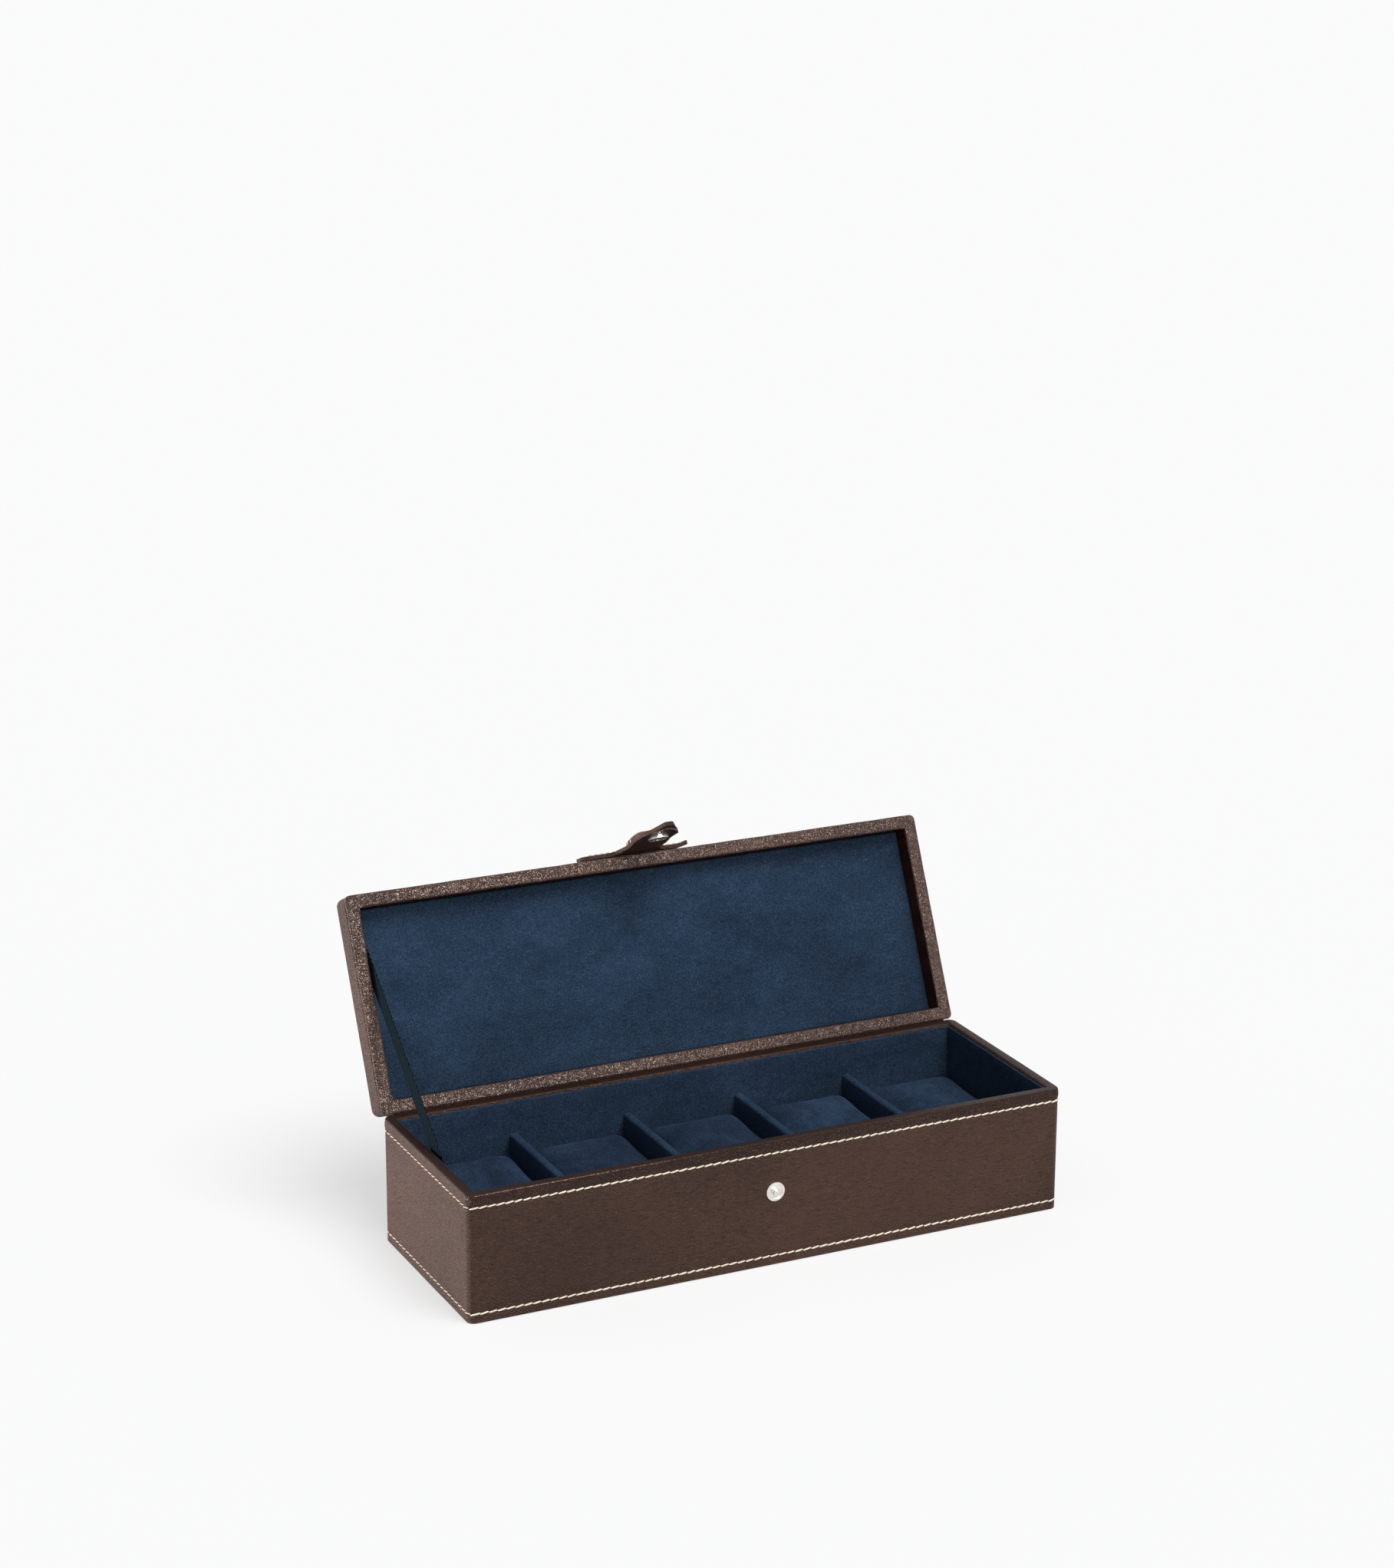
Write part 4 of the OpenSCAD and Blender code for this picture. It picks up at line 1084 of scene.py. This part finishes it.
def make_ribbon():
    """Woven ribbon, drawn taut, its two ends turned under against the walls."""
    wall_x, lid_x, plane_x = -158.15 * MM, -157.9 * MM, -157.5 * MM
    to_wall, to_lid = Vector((wall_x - plane_x, 0, 0)), Vector((lid_x - plane_x, 0, 0))
    low = Vector((plane_x, -14.1 * MM, 53 * MM))
    reach, depth = 0.73 * CASE_DEPTH, 5.35 * MM
    high = HINGE + Vector((plane_x, -reach * math.cos(LID_OPEN) + depth * math.sin(LID_OPEN),
                           reach * math.sin(LID_OPEN) + depth * math.cos(LID_OPEN)))
    run = (high - low).normalized()
    side = Vector((0, -run.z, run.y))
    half = 5 * MM
    length = (high - low).length
    tail, steps, sag = 8 * MM, 24, 0.12 * MM
    stops = [low + run * tail + to_wall, low + run * 0.6 * MM + to_wall,
             low - run * 0.1 * MM + to_wall / 2, low + run * 0.4 * MM]
    stops += [low + run * length * k / steps + Vector((sag * math.sin(math.pi * k / steps), 0, 0))
              for k in range(1, steps)]
    stops += [high - run * 0.4 * MM, high + run * 0.1 * MM + to_lid / 2,
              high - run * 0.6 * MM + to_lid, high - run * tail + to_lid]
    ribbon = start_strip(2 * half)
    pick("VERT", lambda c: c.x < 0)
    push(*(stops[0] - side * half - Vector((-half, -half, 0))))
    pick("VERT", lambda c: (c - stops[0] + side * half).length > TINY)
    push(*(stops[0] + side * half - Vector((half, -half, 0))))
    pick("VERT", lambda c: True)
    draw_through(stops)
    bpy.ops.mesh.select_all(action="SELECT")
    bpy.ops.mesh.subdivide(number_cuts=1)
    leave()
    paint_run(ribbon, low, run, side)
    apply_modifier(ribbon, "SOLIDIFY", thickness=0.4 * MM, offset=0)
    finish_piece(ribbon, "ribbon", ribbon_twill, smooth=60)
    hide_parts("ribbon_stay")
    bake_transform(ribbon)


def paint_run(ribbon, low, run, side):
    """UVs in metres along and across the ribbon, for its twill."""
    layer = ribbon.data.uv_layers.new(name="weave")
    for loop in ribbon.data.loops:
        place = ribbon.data.vertices[loop.vertex_index].co - low
        layer.data[loop.index].uv = (place.dot(side), place.dot(run))


make_ribbon()


# ---------- cushions ----------

CUSHION = (54 * MM, 88 * MM, 37.6 * MM)
CUSHION_FOOT = FLOOR_LINING_TOP + 0.02 * MM
ROOM_TO_SWELL = 1.2 * MM
CUSHION_MESH = 2.2 * MM
SWELL_STEPS = 16


def make_cushion_pattern():
    """A firm cushion before its cover swells: a soft-edged block, its top a little raised."""
    width, length, height = (size - ROOM_TO_SWELL for size in CUSHION)
    low = Vector((-width / 2, -length / 2, CUSHION_FOOT + 0.3 * MM))
    pad = add_block(low, low + Vector((width, length, height)))
    shape(pad)
    top = low.z + height
    pick("EDGE", lambda a, b: abs(a.z - b.z) > height / 2)
    bpy.ops.mesh.bevel(offset=7.5 * MM, segments=6, affect="EDGES")
    pick("EDGE", lambda a, b: min(a.z, b.z) > top - TINY)
    bpy.ops.mesh.bevel(offset=5.5 * MM, segments=5, affect="EDGES")
    pick("EDGE", lambda a, b: max(a.z, b.z) < low.z + TINY)
    bpy.ops.mesh.bevel(offset=3 * MM, segments=3, affect="EDGES")
    cut_evenly(0, 6 * MM, 20 * MM)
    cut_evenly(1, 7 * MM, 36 * MM)
    cut_across(2, [low.z + z * MM for z in (8, 14, 20, 26)])
    for reach, rise in ((0.86, 0.4), (0.7, 0.4), (0.5, 0.3), (0.3, 0.15)):
        pick("VERT", lambda c: c.z > top - 0.5 * MM and
             abs(c.x) < reach * width / 2 and abs(c.y) < reach * length / 2)
        push(z=rise * MM)
    leave()
    return pad


def swell(pad, reach):
    """Cloth over air pressure, run for a moment, then held to within reach of where each point began."""
    start = [v.co.copy() for v in pad.data.vertices]
    take_up(pad)
    cloth = pad.modifiers.new("Cloth", "CLOTH")
    cloth.settings.use_pressure = True
    cloth.settings.uniform_pressure_force = 4
    cloth.settings.effector_weights.gravity = 0
    cloth.settings.quality = 5
    scene = bpy.context.scene
    cloth.point_cache.frame_start, cloth.point_cache.frame_end = 1, SWELL_STEPS
    for moment in range(1, SWELL_STEPS + 1):
        scene.frame_set(moment)
    bpy.ops.object.modifier_apply(modifier="Cloth")
    scene.frame_set(1)
    for corner, was in zip(pad.data.vertices, start):
        move = corner.co - was
        if move.length > reach:
            corner.co = was + move.normalized() * reach
        if was.z < CUSHION_FOOT + 1 * MM:
            corner.co.z = was.z


def make_cushions():
    """Five alike, each turned or flipped so that no two sit quite the same."""
    pattern = make_cushion_pattern()
    apply_modifier(pattern, "REMESH", mode="VOXEL", voxel_size=CUSHION_MESH)
    swell(pattern, 1.0 * MM)
    apply_modifier(pattern, "SMOOTH", factor=0.5, iterations=3)
    apply_modifier(pattern, "SUBSURF", levels=1, render_levels=1)
    for k in range(1, 6):
        cushion = copied(pattern)
        turned = Matrix.Rotation(math.pi * (k % 2) + math.radians(hand.uniform(-0.5, 0.5)), 4, "Z")
        cushion.matrix_world = Matrix.Translation(((k - 3) * CUSHION_PITCH, 0, 0)) @ turned
        take_up(cushion)
        settle()
        hand_made(cushion, 0.05, 0.5 * MM)
        finish_piece(cushion, f"watch_cushion_{k}", cushion_suede, smooth=80)
        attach(cushion, f"watch_cushion_{k}")
        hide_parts(f"cushion_{k}")
    bpy.data.objects.remove(pattern)


make_cushions()


# ---------- camera, lights and floor ----------

bpy.ops.object.camera_add(location=(-0.75909, -1.53479, 0.75720),
                          rotation=[math.radians(a) for a in (73.0859, -0.2277, -25.7378)])
camera = bpy.context.object
camera.name = "photo_camera"
camera.data.sensor_width = 36
camera.data.lens = 82.775
camera.data.clip_end = 60
bpy.context.scene.camera = camera
bpy.context.scene.view_settings.view_transform = "Standard"


def add_window(name, location, aim, size, power):
    """A softbox, aimed at the box."""
    bpy.ops.object.light_add(type="AREA", location=location)
    lamp = bpy.context.object
    lamp.name = name
    lamp.data.shape = "RECTANGLE"
    lamp.data.size, lamp.data.size_y = size
    lamp.data.energy = power
    lamp.rotation_euler = (Vector(aim) - Vector(location)).to_track_quat("-Z", "Y").to_euler()
    return lamp


# an even soft light from high up
bpy.ops.object.light_add(type="SUN", rotation=[math.radians(a) for a in (24, 6, 8)])
high_sky = bpy.context.object
high_sky.name = "high_sky"
high_sky.data.energy = 2.2
high_sky.data.angle = math.radians(40)

front_softbox = add_window("front_softbox", (0.22, -1.25, 0.93), (-0.1, 0, 0.1), (0.26, 0.2), 5)
left_softbox = add_window("left_softbox", (-2.1, 1.4, 0.36), (0, 0, 0.08), (0.8, 0.5), 118)
glint_lamp = add_window("glint_lamp", (0.12, -1.2, 0.86), (-0.12, 0.05, 0.1), (0.7, 0.5), 50)
glint_lamp.visible_diffuse = False

ROOM_LIGHT = 0.29
BACKDROP = 0.947
FLOOR_GLOW_SHARE = 0.55
FLOOR_GLOW = 1.07


def make_room():
    """A pale backdrop where it is seen, and a weaker even light from all round."""
    world = bpy.data.worlds.new("studio")
    bpy.context.scene.world = world
    world.use_nodes = True
    world.node_tree.nodes.clear()
    work = NodeWork(world.node_tree)
    light = work.node("Background", {"Color": (0.97, 0.98, 1.0, 1), "Strength": ROOM_LIGHT})
    shown = work.node("Background", {"Color": (BACKDROP, BACKDROP, BACKDROP, 1)})
    mix = work.node("MixShader", {"Fac": work.seen(), 1: light.outputs[0], 2: shown.outputs[0]})
    work.node("OutputWorld", {"Surface": mix.outputs[0]})


def make_floor():
    """White paper. Where it is seen it keeps its shadows, over an even pale ground."""
    bpy.ops.mesh.primitive_plane_add(size=60, location=(0, 0, 0))
    floor = bpy.context.object
    floor.name = "floor"
    paper = Finish("floor_paper")
    paper.set(Base_Color=(0.9, 0.9, 0.9, 1), Roughness=0.9, Specular_IOR_Level=0.0)
    glow = paper.node("Emission", {"Strength": FLOOR_GLOW})
    share = paper.product(paper.seen(), FLOOR_GLOW_SHARE)
    mix = paper.node("MixShader", {"Fac": share, 1: paper.shader.outputs["BSDF"], 2: glow.outputs[0]})
    paper.feed(paper.nodes["Material Output"].inputs["Surface"], mix.outputs[0])
    floor.data.materials.append(paper.material)
    return floor


make_room()

# the softboxes are flagged off the floor, so that it stays even
flagged = bpy.data.collections.new("kept_off_the_floor")
flagged.objects.link(make_floor())
flagged.collection_objects[0].light_linking.link_state = "EXCLUDE"
for lamp in (front_softbox, left_softbox, glint_lamp):
    lamp.light_linking.receiver_collection = flagged
